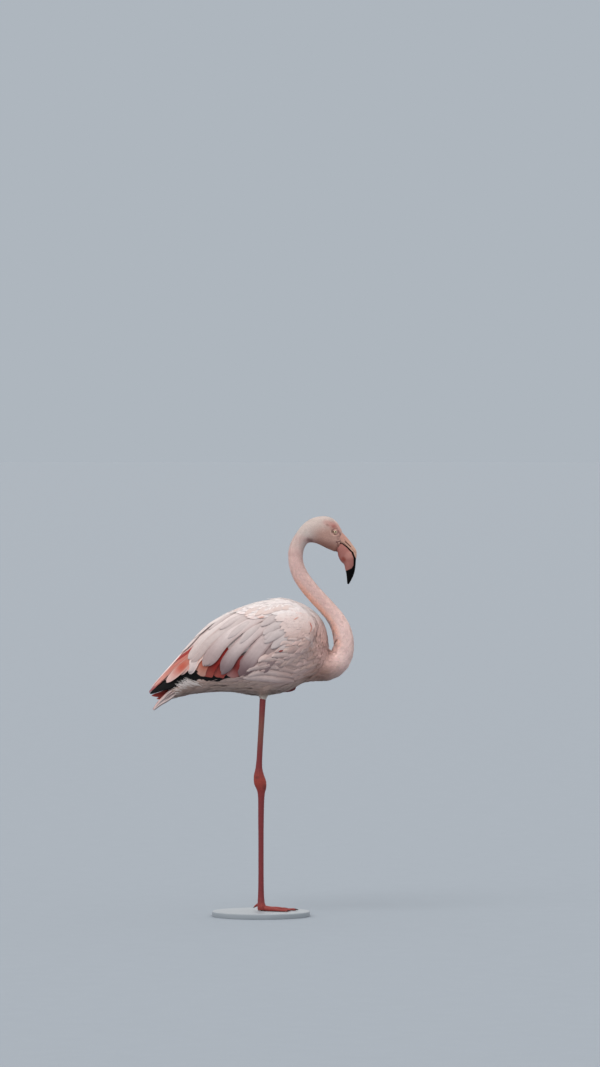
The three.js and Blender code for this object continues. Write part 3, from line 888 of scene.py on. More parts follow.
def mottle(points: Array, size: float) -> Array:
    """Weigh points by soft uneven patches that hold for the whole bird.

    Args:
        points: One row of x, y, z for each point.
        size: How far apart the patches are, in mm.

    Returns:
        A weight for each point, from 0 to 1.
    """
    turns = points @ (np.array([[0.9, -0.3, 0.4], [0.2, 0.8, -0.5], [0.4, 0.5, 0.75]]) * math.tau / size)
    waves = np.sin(turns + 1.6 * np.sin(0.57 * turns[:, [1, 2, 0]] + 1.0))
    return smooth(waves[:, 0] * waves[:, 1] + 0.5 * waves[:, 2], 0.05, 0.9)


def blend(base: Array, colour: str, weight: Array) -> Array:
    """Mix a colour over linear RGB values, by a weight for each."""
    return base + (rgb(colour) - base) * weight[..., None]


def layered(ground: str, points: Array, layers: list[tuple[str, Array]]) -> Array:
    """Lay colours one over another.

    Args:
        ground: The lowest colour.
        points: The points to colour.
        layers: Each colour with a weight for each point, from the lowest up.

    Returns:
        One row of linear RGB for each point.
    """
    colour = np.tile(rgb(ground), (len(points), 1))
    for over, weight in layers:
        colour = blend(colour, over, weight)
    return colour


@dataclass(frozen=True)
class Markings:
    """The colours of an adult's skin and coat, with some painted light and shade, as a rule that holds for
    any point of the bird.
    """

    back: str = "e5dcdb"
    shoulder: str = "d5c1bd"
    flank: str = "c9aea8"
    # darker than the back: partly the bird's own grey-brown, partly painted shade of the underside
    belly: str = "a78f85"
    # painted shade along the lowest part of the body
    underside_shade: str = "7f6a62"
    hem: str = "c0b4ab"  # the pale rim of the thigh's feathers round the leg
    keel: str = "86604f"  # painted shade under the breast and in the fold between breast and flank
    breast: str = "d0aaa2"
    breast_fleck: str = "84675b"
    peach: str = "deac9f"
    neck: str = "dbb9b3"
    neck_fleck: str = "bd8d85"
    neck_base: str = "efd0ca"
    salmon: str = "f4b296"
    crown: str = "cfbfb9"
    nape: str = "c9a29d"
    cheek: str = "be9487"
    low_cheek: str = "a06c5c"
    blush: str = "c28a82"
    # painted shadow under the brow and round the eye
    brow: str = "7a5a49"
    red: str = "a2584e"
    maroon: str = "6c3836"
    lore: str = "a87f74"
    # painted shade in folds of the skin
    crease: str = "6a3b33"
    gape_folds: tuple[Line, ...] = (
        ((170.4, 830.5), (181.3, 833), (186.1, 829.4)),
        ((169.9, 831.2), (173.5, 824), (172.1, 817.9), (167.4, 808.9)),
    )

    def head(self, points: Array) -> Array:
        """Colour points of the head and the nape.

        Args:
            points: One row of x, y, z for each point.

        Returns:
            One row of linear RGB for each point.
        """
        x, z = points[:, 0], points[:, 2]
        layers = [
            (self.nape, smooth(z + 0.2 * x, 868, 852)),
            (self.cheek, 0.9 * smooth(z - 0.25 * (x - 130), 882, 842) * smooth(x, 98, 136)),
            (self.low_cheek, 0.75 * smooth(z + 0.3 * (x - 130), 846, 824) * smooth(x, 108, 140)),
            (self.blush, 0.5 * spot(points, 150, 873, 16, 10, -20)),
            (self.blush, 0.75 * spot(points, 166, 864, 21, 13, -48)),
            (self.lore, 0.9 * spot(points, 177, 840, 13, 11, -40)),
            (self.red, 0.5 * spot(points, 164.5, 865.5, 8, 6, -30)),
            # Painted shadow behind, above and below the eye, under the brow.
            (self.brow, 0.4 * spot(points, 149.4, 869, 4, 3.2, -40)),
            (self.brow, 0.5 * streak(points, (158, 858.5), (171, 861), 4.6)),
            (self.brow, 0.6 * streak(points, (159.6, 856), (166.5, 847), 2.8)),
            (self.maroon, 0.65 * streak(points, (173, 855.5), (179, 847.4), 4.0)),
            # Painted shade in the crease low at the back of the head, and in the folds of the gape.
            (self.crease, 0.6 * streak(points, (106, 836), (113, 833), 7)),
        ]
        for fold, depth, half in zip(self.gape_folds, (0.75, 0.85), (1.9, 2.6)):
            layers += [(self.crease, depth * streak(points, a, b, half)) for a, b in pairwise(fold)]
        return layered(self.crown, points, layers)

    def neck_part(self, points: Array, place: Array, side: Array) -> Array:
        """Return the colour of points of the neck.

        Args:
            points: One row of x, y, z for each point.
            place: The points' places on the bird's line.
            side: How far to the line's left they are.

        Returns:
            One row of linear RGB for each point.
        """
        inner = smooth(side, 0.05, 0.8) * smooth(place, 6.3, 8.6) * (1 - smooth(place, 13.6, 15.4))
        return layered(self.neck, points, [
            (self.crown, smooth(place, 5.2, 3.6) * 0.8),
            (self.neck_base, smooth(place, 9.6, 12.4)),
            # Painted light: a paler stripe along one edge of the neck.
            (self.neck_base, smooth(-side, 0.3, 0.95) * smooth(place, 6.0, 7.5) * 0.6),
            (self.salmon, 0.8 * inner),
            (self.nape, 0.4 * mottle(points, 15.0)),
        ])

    def body(self, points: Array) -> Array:
        """Colour points of the body.

        Args:
            points: One row of x, y, z for each point.

        Returns:
            One row of linear RGB for each point.
        """
        x, y, z = points.T
        front = smooth(x + 0.12 * (z - 600), 104, 132)
        # The tones darken from the back down through shoulder and flank to the belly: partly the bird's own
        # tone, partly painted shade of the underside.
        return layered(self.flank, points, [
            (self.shoulder, smooth(z - 0.35 * (x - 40), 600, 638)),
            (self.back, smooth(z - 0.2 * np.abs(y) - 0.16 * (x - 20), 632, 662)),
            (self.cheek, 0.16 * mottle(points, 46.0) * smooth(z, 660, 620)),
            (self.belly, smooth(z + 0.06 * x, 540, 494)),
            # Painted shade along the lowest part of the body.
            (self.underside_shade, 0.75 * smooth(z, 501, 489) * smooth(x, 150, 120)),
            (self.breast, front * smooth(z, 664, 618) * smooth(z, 520, 560)),
            (self.hem, smooth(z, 489, 480) * smooth(np.abs(x - 8), 26, 14)),
        ])

    def coat(self, points: Array) -> Array:
        """Colour any points of the coat or of the skin under it.

        Args:
            points: One row of x, y, z for each point.

        Returns:
            One row of linear RGB for each point.
        """
        place, _, side = SPINE.read(points)
        x, _, z = points.T
        body, neck = self.body(points), self.neck_part(points, place, side)
        colour = body + (neck - body) * smooth(place, 17.0, 15.2)[:, None]
        # Painted shade: dark brown under the breast, and in the fold between the breast and the flank.
        low = smooth(z - 0.25 * np.maximum(x - 120, 0), 562, 528)
        low = low * smooth(x, 70, 108) * smooth(x, 190, 128)
        painted_shade = np.maximum(0.8 * low, 0.5 * spot(points, 108, 572, 15, 26, -12))
        colour = blend(colour, self.keel, painted_shade)
        return colour + (self.head(points) - colour) * smooth(place, 3.9, 2.9)[:, None]


MARKINGS = Markings()


def chart(points: Array) -> Array:
    """Unroll the bird's skin: along its middle line, and round it.

    Args:
        points: One row of x, y, z for each point.

    Returns:
        One row of u, v for each point, from 0 to 1.
    """
    place, _, side = SPINE.read(points)
    radius = np.interp(place, np.arange(len(SPINE.stations)), [s[2] for s in SPINE.stations])
    round_it = np.arctan2(points[:, 1] / radius, side) / math.tau + 0.5
    return np.stack([0.02 + 0.96 * place / (len(SPINE.stations) - 1), 0.02 + 0.96 * round_it], axis=1)


# ---------------------------------------------------------------- vanes
@dataclass(frozen=True)
class Cut:
    """How the feathers of one tract are cut, and how they lie. Lengths in mm."""

    length: float
    half: float  # half the vane's width
    spacing: float  # from one root to the next
    depth: float  # how far under the coat's surface the roots are
    stations: int = 7
    columns: int = 3
    fray: float = 0.0  # how raggedly the tip ends, as a share of the length
    camber: float = 0.6
    lift: float = 0.3  # how far the tips stand off
    scatter: float = 6.0  # degrees by which neighbours differ in direction
    point: float = 0.0  # 0 for a round tip, 1 for a pointed one
    shade: float = 0.12  # painted shade: how much darker the roots are, where they lie under other feathers
    spread: float = 0.05  # how much neighbours differ in tone


class Vanes:
    """Feather vanes in one mesh: each is a thin closed blade, whose two faces meet in a sharp rim."""

    def __init__(self, stations: int, columns: int) -> None:
        """Set up the faces that every vane of this mesh has.

        Args:
            stations: Points along a vane.
            columns: Points across it.
        """
        self.stations = stations
        self.columns = columns
        top = np.arange(stations * columns).reshape(stations, columns)
        under = top.copy()
        inner = (stations - 2) * (columns - 2)
        under[1:-1, 1:-1] = stations * columns + np.arange(inner).reshape(stations - 2, columns - 2)
        upper = grid_faces(stations, columns, wrap=False)
        lower = under.ravel()[upper][:, ::-1]
        self.faces = np.vstack([upper, lower])
        self.count = stations * columns + inner

    def outline(self, point: float) -> Array:
        """Return the vane's half width at each station, as a share of its widest.

        Args:
            point: 0 for a round tip, 1 for a pointed one.

        Returns:
            One share for each station.
        """
        s = self.shares()
        base = 0.42 + 0.58 * smooth(s, 0.0, 0.42)
        start = 0.68 - 0.4 * point
        end = np.clip((s - start) / (1 - start), 0.0, 1.0)
        tip = np.sqrt(np.maximum(1 - end**2, 0.0)) * (1 - point) + (1 - end) * point
        return base * np.maximum(tip, 0.06)

    def shares(self) -> Array:
        """Return how far along the vane each station is, closer together towards the tip."""
        t = np.linspace(0, 1, self.stations)
        return 1 - (1 - t) ** 1.45

    def rough(self, number: int, rng: Chance) -> Array:
        """Draw how worn the columns' tips are.

        Args:
            number: How many feathers there are.
            rng: The source of chance.

        Returns:
            Feathers by columns, mostly from 0 to 2 and smooth across each feather.
        """
        worn = np.abs(rng.normal(0, 1, (number, self.columns + 2)))
        return (worn[:, :-2] + worn[:, 1:-1] + worn[:, 2:]) / 3

    def build(
        self,
        name: str,
        centres: Array,
        normals: Array,
        half: Array,
        tints: Array,
        places: Array,
        thick: float,
        camber: Array | float = 0.0,
        ragged: Array | None = None,
        patch: tuple[float, float] = (0.0015, 0.0015),
    ) -> Object:
        """Make the mesh.

        Args:
            name: The object's name.
            centres: The shafts, feathers by stations by 3.
            normals: The outward directions along the shafts, feathers by stations by 3.
            half: Half widths, feathers by stations.
            tints: Colours, feathers by stations by columns by 3.
            places: Where each feather's patch is on the baking map, feathers by 2.
            thick: The vane's thickness in its middle.
            camber: How far the edges drop below the shaft, for each feather.
            ragged: How far each column's tip is drawn back, feathers by columns, as a share of the length.
            patch: Half the size of each feather's patch on the baking map, along and across.

        Returns:
            The new object.
        """
        number = len(centres)
        across = np.linspace(-1, 1, self.columns)
        along = np.gradient(centres, axis=1)
        step = np.linalg.norm(along, axis=-1)
        along = unit(along)
        sides = unit(np.cross(normals, along))
        up = np.cross(along, sides)
        length = step.sum(1)
        share = self.shares()
        spread = half[:, :, None, None] * across[None, None, :, None]
        points = centres[:, :, None] + sides[:, :, None] * spread
        drop = np.broadcast_to(np.asarray(camber, dtype=float).reshape(-1, 1), (number, 1))
        width = half / np.maximum(half.max(1, keepdims=True), 1e-6)
        points -= up[:, :, None] * ((drop * width)[:, :, None, None] * (across**2)[None, None, :, None])
        if ragged is not None:
            back = ragged[:, None, :] * smooth(share, 0.55, 1.0)[None, :, None] * length[:, None, None]
            points -= along[:, :, None] * back[..., None]
        body = points + up[:, :, None] * (thick / 2)
        edge = np.zeros((self.stations, self.columns), dtype=bool)
        edge[[0, -1]] = True
        edge[:, [0, -1]] = True
        upper = np.where(edge[None, :, :, None], points, body)
        lower = (points - up[:, :, None] * (thick / 2))[:, 1:-1, 1:-1]
        vertices = np.concatenate([upper.reshape(number, -1, 3), lower.reshape(number, -1, 3)], axis=1)

        def both(values: Array) -> Array:
            """List values of the upper face, and those inside its rim again for the lower one."""
            parts = (values, values[:, 1:-1, 1:-1])
            return np.concatenate([part.reshape(number, -1, *values.shape[3:]) for part in parts], axis=1)

        reach = np.concatenate([np.zeros((number, 1)), np.cumsum(step[:, 1:], axis=1)], axis=1)
        barb = reach[:, :, None] - 0.9 * half[:, :, None] * np.abs(across)
        cells = np.stack(np.meshgrid(patch[0] * (2 * share - 1), patch[1] * across, indexing="ij"), axis=-1)
        faces = (np.arange(number)[:, None, None] * self.count + self.faces[None]).reshape(-1, 4)
        thing = mesh_object(name, vertices.reshape(-1, 3), faces)
        paint(thing, tint=both(tints).reshape(-1, 3), barb=both(barb).reshape(-1))
        bake_map(thing, both(places[:, None, None] + cells).reshape(-1, 2))
        smooth_shade(thing)
        rim = np.concatenate([edge.ravel(), np.zeros(self.count - edge.size, dtype=bool)])
        self.sharpen(thing, np.tile(rim, number))
        return thing

    def sharpen(self, thing: Object, rim: Array) -> None:
        """Part the shading of the upper and lower faces along the vanes' rims.

        Args:
            thing: The vanes' object.
            rim: Whether each vertex is on a rim.
        """
        sharp = rim[read(thing.data.edges, "vertices", 2, np.int32)].all(axis=1)
        layers = thing.data.attributes
        layer = layers.get("sharp_edge") or layers.new("sharp_edge", "BOOLEAN", "EDGE")
        layer.data.foreach_set("value", sharp)


# ---------------------------------------------------------------- the studio
@dataclass
class Studio:
    """A distant camera that looks a little down on the bird, soft light from above, and a grey floor."""

    eye: Triple = (0.08775, -15.0, 1.09235)
    aim: Triple = (0.08775, 0.0, 0.86175)
    lens: float = 225.0
    floor_colour: str = "8b949e"
    floor_reach: float = 220.0
    zenith: float = 1.1
    horizon: str = "aeb6be"
    sun: float = 1.3
    sun_width: float = 35.0  # degrees, as wide as thin cloud spreads it
    sun_from: Triple = (-0.45, -0.75, 1.0)
    sun_tone: Triple = (1.0, 0.965, 0.92)

    def place_camera(self) -> None:
        """Put the camera up."""
        bpy.ops.object.camera_add(location=self.eye)
        camera = bpy.context.object
        camera.name = "camera"
        camera.data.lens = self.lens
        camera.data.sensor_width = 36.0
        camera.data.clip_end = 1000.0
        camera.rotation_euler = (Vector(self.aim) - Vector(self.eye)).to_track_quat("-Z", "Y").to_euler()
        bpy.context.scene.camera = camera

    def light(self) -> None:
        """Set up a bright overcast sky, and a broad soft sun high over the camera's left shoulder."""
        bpy.ops.object.light_add(type="SUN", location=(-1.0, -2.0, 4.0))
        sun = bpy.context.object
        sun.name = "soft_sun"
        sun.data.energy = self.sun
        sun.data.angle = math.radians(self.sun_width)
        sun.data.color = self.sun_tone
        sun.rotation_euler = Vector(self.sun_from).to_track_quat("Z", "Y").to_euler()
        world = bpy.data.worlds.new("overcast")
        world.use_nodes = True
        tree = world.node_tree
        tree.nodes.clear()
        place = add(tree, "TexCoord")
        split = add(tree, "SeparateXYZ", None, {0: place.outputs["Generated"]})
        haze = {"interpolation_type": "SMOOTHSTEP", "From Min": 0.075, "From Max": 0.14}
        rise = add(tree, "MapRange", haze, {"Value": split.outputs["Z"]})
        above = (self.zenith, self.zenith * 0.99, self.zenith * 0.98, 1)
        tones = {"data_type": "RGBA", 6: linear(self.horizon), 7: above}
        sky = add(tree, "Mix", tones, {0: rise.outputs[0]})
        back = add(tree, "Background", {"Strength": 1.0}, {"Color": sky.outputs[2]})
        add(tree, "OutputWorld", None, {"Surface": back.outputs[0]})
        bpy.context.scene.world = world
        bpy.context.scene.view_settings.view_transform = "Standard"

    def lay_floor(self) -> None:
        """Lay the floor."""
        bpy.ops.mesh.primitive_circle_add(vertices=96, radius=self.floor_reach, fill_type="NGON")
        floor = bpy.context.object
        floor.name = "floor"
        finish = PaintFinish("matt_floor_paint", self.floor_colour, 0.9, 0.1, speck=6.0, drift=0.02)
        dress(floor, finish.make())
        floor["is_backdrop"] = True


@dataclass
class Stand:
    """The flat round base."""

    radius: float = 110.0
    thickness: float = 12.0
    bevel: float = 2.5
    sides: int = 128
    colour: str = "8f969d"

    def build(self) -> Object:
        """Turn the disc, with a small round at its top and bottom edge."""
        high, wide = self.thickness, self.radius
        outline = [(wide - 0.8, 0.0), (wide - 0.2, 0.3), (wide, 0.9)]
        for a in np.linspace(math.pi / 2, 0, 7):
            outline.append((wide - self.bevel * (1 - math.sin(a)), high - self.bevel * (1 - math.cos(a))))
        outline += [(wide - 8, high), (wide * 0.5, high)]
        turn = circle(self.sides)
        ring = np.stack([np.cos(turn), np.sin(turn), np.ones(self.sides)], axis=1)
        disc = closed_form("base", np.array([ring * (r, r, z) for r, z in outline]) - LIFT)
        pick(disc)
        bpy.ops.object.shade_smooth_by_angle(angle=math.radians(35))
        dress(disc, PaintFinish("grey_painted_wood", self.colour, 0.5, 0.06, speck=1.2, drift=0.06).make())
        return disc


# ---------------------------------------------------------------- flesh
def solids(frame: dict, name: str, nodes: tuple[str, ...]) -> Object:
    """Copy nodes of the frame into one new object.

    Args:
        name: The new object's name.
        nodes: The names of the nodes.

    Returns:
        The new object.
    """
    points, faces, count = [], [], 0
    for node in nodes:
        three = triangles_of(frame["nodes"][node]) + count
        faces.append(np.column_stack([three, three[:, 2]]))
        points.append(points_of(frame["nodes"][node]))
        count += len(points[-1])
    return mesh_object(name, np.vstack(points), np.vstack(faces))


@dataclass
class Flesh:
    """The forms that the plumage lies on: its outer surface, and the skin under it."""

    voxel: float = 3.0
    rounds: int = 16
    body_depth: float = 3.6
    neck_depth: float = 1.3

    def surface(self, frame: dict) -> Object:
        """Melt the solids into the surface that the tips of the coat reach.


        Returns:
            A form to lay feathers on. It doesn't stay in the scene.
        """
        nodes = ("trunk", "wing_right", "wing_left", "thigh_right", "tail", *NECK, "head")
        return melt(solids(frame, "coat_surface", nodes), self.voxel, self.rounds)

    def skin(self, frame: dict) -> Object:
        """Make the skin of the body and the neck, inside the solids by the depth of the coat.


        Returns:
            The skin.
        """
        skin = melt(solids(frame, "body_skin", ("trunk", "thigh_right", *NECK)), self.voxel, self.rounds)
        points = points_of(skin)
        place, _, _ = SPINE.read(points)
        depth = self.neck_depth + (self.body_depth - self.neck_depth) * smooth(place, 15.0, 18.5)
        depth = depth * (1 - 0.6 * smooth(points[:, 2], 494, 482))
        depth = depth * (1 - 0.6 * spot(points, 132, 652, 30, 46, -60))
        swell(skin, points, -depth)
        return skin


# ---------------------------------------------------------------- the head
@dataclass
class Head:
    """The head with its lids, folds and bare skin, as one form with the top of the neck."""

    profile: Profile = Profile(
        tops=(
            (75.5, 845), (91, 866.5), (110, 881.5), (132, 888), (152, 887.3), (169.5, 877.5), (179.5, 862),
            (184, 850.5),
        ),
        bottoms=(
            (104, 827), (110, 829), (119, 828.5), (131, 824.5), (146, 817), (159.5, 811), (167, 808.5),
            (171.2, 808),
        ),
        halves=(15.8, 17.6, 19.6, 20.4, 19.8, 17.0, 13.6, 11.6),
        widest=(0.5, 0.5, 0.5, 0.48, 0.47, 0.47, 0.45, 0.42),
    )
    nape: Limb = Limb((
        (121, 0, 712, 15.6, 14.6), (102, 0, 735, 16.4, 15.4), (86, 0, 760, 16.6, 15.6),
        (78.3, 0, 784, 16.8, 15.8), (77.8, 0, 803, 16.9, 15.9), (81.5, 0, 820.5, 16.6, 15.6),
        (89.5, 0, 835.5, 16.8, 15.8), (101, 0, 846, 16.0, 15.6),
    ))
    voxel: float = 0.95
    rounds: int = 5
    eye: Triple = (166.5, 10.4, 853.4)
    eye_radius: float = 6.5
    gape: tuple[tuple[float, tuple[float, float], tuple[float, float], float], ...] = (
        (0.9, (168, 828), (182, 832), 1.6), (-0.5, (168, 831), (183, 836), 1.8),
        (0.6, (172, 834.5), (184, 839.5), 1.4),
    )  # the folds there: depth, start, end and half the width
    lid_folds: tuple[Triple, ...] = ((3.1, 0.45, 0.45), (5.2, 0.4, 0.22))  # place, half width, depth
    iris: str = "cdb795"
    inner_iris: str = "ab8f68"
    iris_rim: str = "8d7048"
    lid_rim: str = "5b3f38"
    pupil: str = "120e0d"

    def form(self) -> Object:
        """Make the head's outer form, with its hollows and folds."""
        skull = closed_form("skull", self.profile.rows(70, 64), start=3.0, end=1.6)
        neck = closed_form("nape", self.nape.rows(60, 48, 0.15, 1.0))
        head = melt(join([skull, neck], "head_form"), self.voxel, self.rounds)
        points = points_of(head)
        swell(head, points, self.relief(points))
        return head

    def relief(self, points: Array) -> Array:
        """Return how far points of the head stand out for its hollows and folds.

        Args:
            points: One row of x, y, z for each point.

        Returns:
            Heights in mm, less than 0 in a hollow.
        """
        x, _, z = self.eye
        side = np.abs(points[:, 1])
        flank = smooth(side, 3.0, 8.0)
        away = np.hypot(points[:, 0] - x, points[:, 2] - z)
        out = -3.6 * (1 - smooth(away, 7.6, 11.2)) * flank
        out += 0.7 * spot(points, 160, 866, 13, 6, -35) * flank  # the brow
        out -= 1.0 * spot(points, 178, 845, 8, 9, -45) * flank  # the hollow of the lores
        for depth, start, end, half in self.gape:
            out -= depth * streak(points, start, end, half) * flank
        out -= 0.9 * streak(points, (172, 818), (167, 807), 1.7)
        out += 0.6 * spot(points, 150, 834, 17, 10, -15) * flank  # the cheek
        return out

    def lids(self, side: int) -> Object:
        """Make the lids and the bare ring round one eye.

        Args:
            side: 1 for the left eye, -1 for the right.

        Returns:
            The lids, which close over the eyeball and run out into the skin of the face.
        """
        ex, ey, ez = self.eye
        rays = 96
        turn = circle(rays)
        high = np.where(np.sin(turn) > 0, 3.1, 4.1)
        margin = 1 / np.hypot(np.cos(turn) / 5.0, np.sin(turn) / high)
        steps = [-0.7, 0.0, 0.35, 0.8, 1.4, 2.1, 2.8, 3.4, 3.9, 4.4, 5.0, 5.7, 6.5, 7.4, 8.4, 9.4]
        rows = []
        for number, step in enumerate(steps):
            reach = margin + step * (1 + 0.12 * np.cos(turn))
            x = ex + reach * np.cos(turn)
            z = ez + reach * np.sin(turn)
            ball = np.sqrt(np.maximum((self.eye_radius + 0.3) ** 2 - reach**2, 0.0)) + ey
            face = self.profile.place(*self.profile.locate(np.stack([x, z], axis=1)))[:, 1]
            lip = (-0.8, 0.05, 0.55, 0.8, 0.9)[number] if number < 5 else 0.9
            over = smooth(step, 0.8, 5.0)
            y = (ball + lip) * (1 - over) + (face + 0.15) * over
            y = np.maximum(y, ball + min(lip, 0.3)) if number > 1 and reach.max() < 6.6 else y
            fold = -sum(deep * math.exp(-(((step - at) / wide) ** 2)) for at, wide, deep in self.lid_folds)
            y = y + fold * (0.6 + 0.4 * np.sin(turn)) - 0.9 * smooth(step, 6.8, 9.4)
            rows.append(np.stack([x, side * y, z], axis=1))
        rows = np.array(rows)
        faces = grid_faces(len(steps), rays, wrap=True)
        if side < 0:
            faces = faces[:, ::-1]
        return mesh_object(f"lids_{side}", rows.reshape(-1, 3), faces)

    def skin(self, form: Object) -> Object:
        """Make the head's skin from its form, with the lids.

        Args:
            form: The head's outer form, which is used up.

        Returns:
            The skin.
        """
        points = points_of(form)
        bare = spot(points, 176, 843, 18, 22, -30) * smooth(np.abs(points[:, 1]), 2, 6)
        place, _, _ = SPINE.read(points)
        depth = 0.75 * (1 - bare) + 1.4 * smooth(place, 4.2, 6.0)
        swell(form, points, -depth)
        lids = [self.lids(side) for side in (-1, 1)]
        return join([form, *lids], "head_skin")

    def eyeball(self, side: int) -> Object:
        """Make one eyeball, with a bulging cornea over its iris.

        Args:
            side: 1 for the left eye, -1 for the right.

        Returns:
            The eyeball.
        """
        rings, sides = 40, 48
        lean = np.linspace(0.0, math.pi, rings)
        turn = circle(sides)[None, :, None]
        bulge = 0.55 * np.exp(-((lean / 0.42) ** 2))
        radius = self.eye_radius + bulge - 0.1
        forward = unit(np.array([0.16, side, 0.02]))
        wide = unit(np.cross(forward, [0.0, 0.0, 1.0]))
        high = np.cross(wide, forward)
        flat = np.sin(lean)[:, None, None] * (np.cos(turn) * wide + np.sin(turn) * high)
        rows = (flat + np.cos(lean)[:, None, None] * forward) * radius[:, None, None]
        middle = np.array([self.eye[0], side * self.eye[1], self.eye[2]])
        ball = closed_form(f"eye_{'left' if side > 0 else 'right'}_ball", rows[1:-1] + middle)
        away = unit(points_of(ball) - middle) @ forward
        off = np.degrees(np.arccos(np.clip(away, -1, 1)))
        paint(ball, tint=layered(self.iris, off, [
            (self.inner_iris, smooth(off, 24, 14) * 0.6),
            (self.iris_rim, smooth(off, 27, 30) * 0.8),
            (self.lid_rim, smooth(off, 33, 38)),
            (self.pupil, smooth(off, 14.5, 12)),
        ]))
        smooth_shade(ball)
        dress(ball, EyeFinish("wet_eye").make())
        return ball


@dataclass
class Bill:
    """The bent bill: a thin upper half, like a lid on the deep lower half, both with black tips."""

    upper: Profile = Profile(
        tops=(
            (180.5, 854.5), (184.6, 850), (191, 843), (198.5, 834.3), (206.5, 823.3), (214, 812),
            (215.2, 801.5), (213.6, 790), (212.8, 778), (211.2, 766.5), (208.4, 756), (203.6, 745.5),
            (197.8, 735.6),
        ),
        bottoms=((169.6, 830.4), (174.8, 827.8), (182.2, 825.9), (189.5, 821.6), (197.2, 813.9),
              (204.5, 805.3), (208.5, 797.5), (209.7, 788.1), (207.9, 777.3), (205.7, 765.9),
              (202.5, 754.5), (199.3, 744.4), (196.2, 735.6)),
        halves=(10.2, 10.6, 10.2, 9.8, 9.6, 9.4, 9.0, 8.2, 7.2, 6.0, 4.8, 3.5, 1.4),
        widest=(0.35, 0.35, 0.3, 0.3, 0.3, 0.3, 0.3, 0.3, 0.3, 0.3, 0.3, 0.4, 0.5),
    )
    lower: Profile = Profile(
        tops=((169.4, 831.1), (175, 829.8), (183.2, 829.1), (192, 824.6), (200.2, 816.3), (207.5, 807),
              (211.6, 798.1), (212.2, 787.6), (210.6, 776.4), (208.3, 764.8), (204.7, 753.3),
              (200.8, 743.4), (196.4, 735.2)),
        bottoms=(
            (168, 811), (171.8, 807.6), (173.6, 800), (177, 791.5), (181.5, 785), (186.4, 780.6),
            (188.3, 775), (189.3, 770), (190.8, 764.5), (192, 757.5), (193, 749), (193.6, 740.6),
            (194.4, 735.6),
        ),
        halves=(8.4, 9.8, 11.6, 13.0, 13.7, 13.6, 12.8, 11.4, 9.6, 7.6, 5.8, 3.9, 1.4),
        widest=(0.5, 0.5, 0.55, 0.58, 0.6, 0.6, 0.6, 0.6, 0.6, 0.55, 0.5, 0.5, 0.5),
    )
    slant: Line = (
        (186, 763), (190, 765), (198.2, 768.8), (204.1, 771.8), (208.4, 779), (212, 789), (217, 797),
    )
    nostril: tuple[tuple[float, float], tuple[float, float]] = ((189.5, 831), (202, 819.8))
    black: str = "0a090a"
    pale: str = "c39d8b"
    pink: str = "a06b64"
    root: str = "b98a7f"
    seam: str = "96655a"
    # painted shade in the nostril slit
    hollow: str = "3b2420"
    # a darker red: partly the bill's own red, partly painted shade under the ridge of the lower half
    blush: str = "8a453b"
    bloom: str = "b8857c"
    chin: str = "8f5048"
    rim: Line = (
        (171, 828), (183, 826.5), (192.6, 819.7), (205.4, 806.9), (210.8, 793), (210.5, 780),
    )

    def tip(self, points: Array) -> Array:
        """Weigh the black of the tip, whose edge runs slanting across both halves."""
        edge = np.interp(points[:, 0], *np.array(self.slant).T)
        return smooth(points[:, 2] - edge, 1.2, -1.2)

    def half(self, profile: Profile, name: str) -> tuple[Object, Array]:
        """Build one half.

        Args:
            profile: Its form.
            name: Its name.

        Returns:
            The half, and its points.
        """
        thing = closed_form(name, profile.rows(190, 72))
        smooth_shade(thing)
        return thing, points_of(thing)

    def build_upper(self) -> Object:
        """Build the upper half, with its ridge, its grooves and its nostrils."""
        thing, points = self.half(self.upper, "bill_top")
        slit = streak(points, *self.nostril, 1.9) * smooth(np.abs(points[:, 1]), 2.5, 4.0)
        groove = streak(points, (188, 836), (212.5, 806), 1.4) * smooth(np.abs(points[:, 1]), 2.0, 3.5)
        swell(thing, points, -(1.5 * slit + 0.35 * groove))
        paint(thing, tint=layered(self.pale, points, [
            (self.root, 0.8 * smooth(points[:, 2], 820, 842)),
            (self.seam, 0.7 * groove),
            # Painted shade in the nostril slit.
            (self.hollow, slit),
            (self.black, np.maximum(self.tip(points), self.margin(points, 0.5))),
        ]))
        dress(thing, HornFinish("pale_horn").make())
        return thing

    def margin(self, points: Array, start: float) -> Array:
        """Weigh the black line along the edge of the mouth, which widens towards the tip.

        Args:
            points: One row of x, y, z for each point.
            start: Half the line's width at the gape.

        Returns:
            A weight for each point, from 1 on the line to 0.
        """
        near = np.zeros(len(points))
        for k, (a, b) in enumerate(pairwise(self.rim)):
            near = np.maximum(near, streak(points, a, b, 2 * (start + 0.46 * k)) ** 0.5)
        return smooth(near, 0.45, 0.75)

    def build_lower(self) -> Object:
        """Build the lower half, whose upper edge lies inside the upper half."""
        thing, points = self.half(self.lower, "bill_keel")
        crease = streak(points, (174, 806), (182, 792), 1.6) * smooth(np.abs(points[:, 1]), 3, 6)
        swell(thing, points, -0.4 * crease)
        paint(thing, tint=layered(self.pink, points, [
            # Partly painted shade: a darker red under the ridge of the lower half's side.
            (self.blush, 0.8 * spot(points, 186, 792, 8, 7, -50)),
            (self.bloom, 0.7 * spot(points, 200, 802, 12, 18, -60)),
            (self.chin, 0.6 * smooth(points[:, 0] + 0.3 * (points[:, 2] - 806), 179, 171)),
            (self.black, np.maximum(self.tip(points), self.margin(points, 0.4))),
        ]))
        dress(thing, HornFinish("pink_horn", roughness=0.5).make())
        return thing


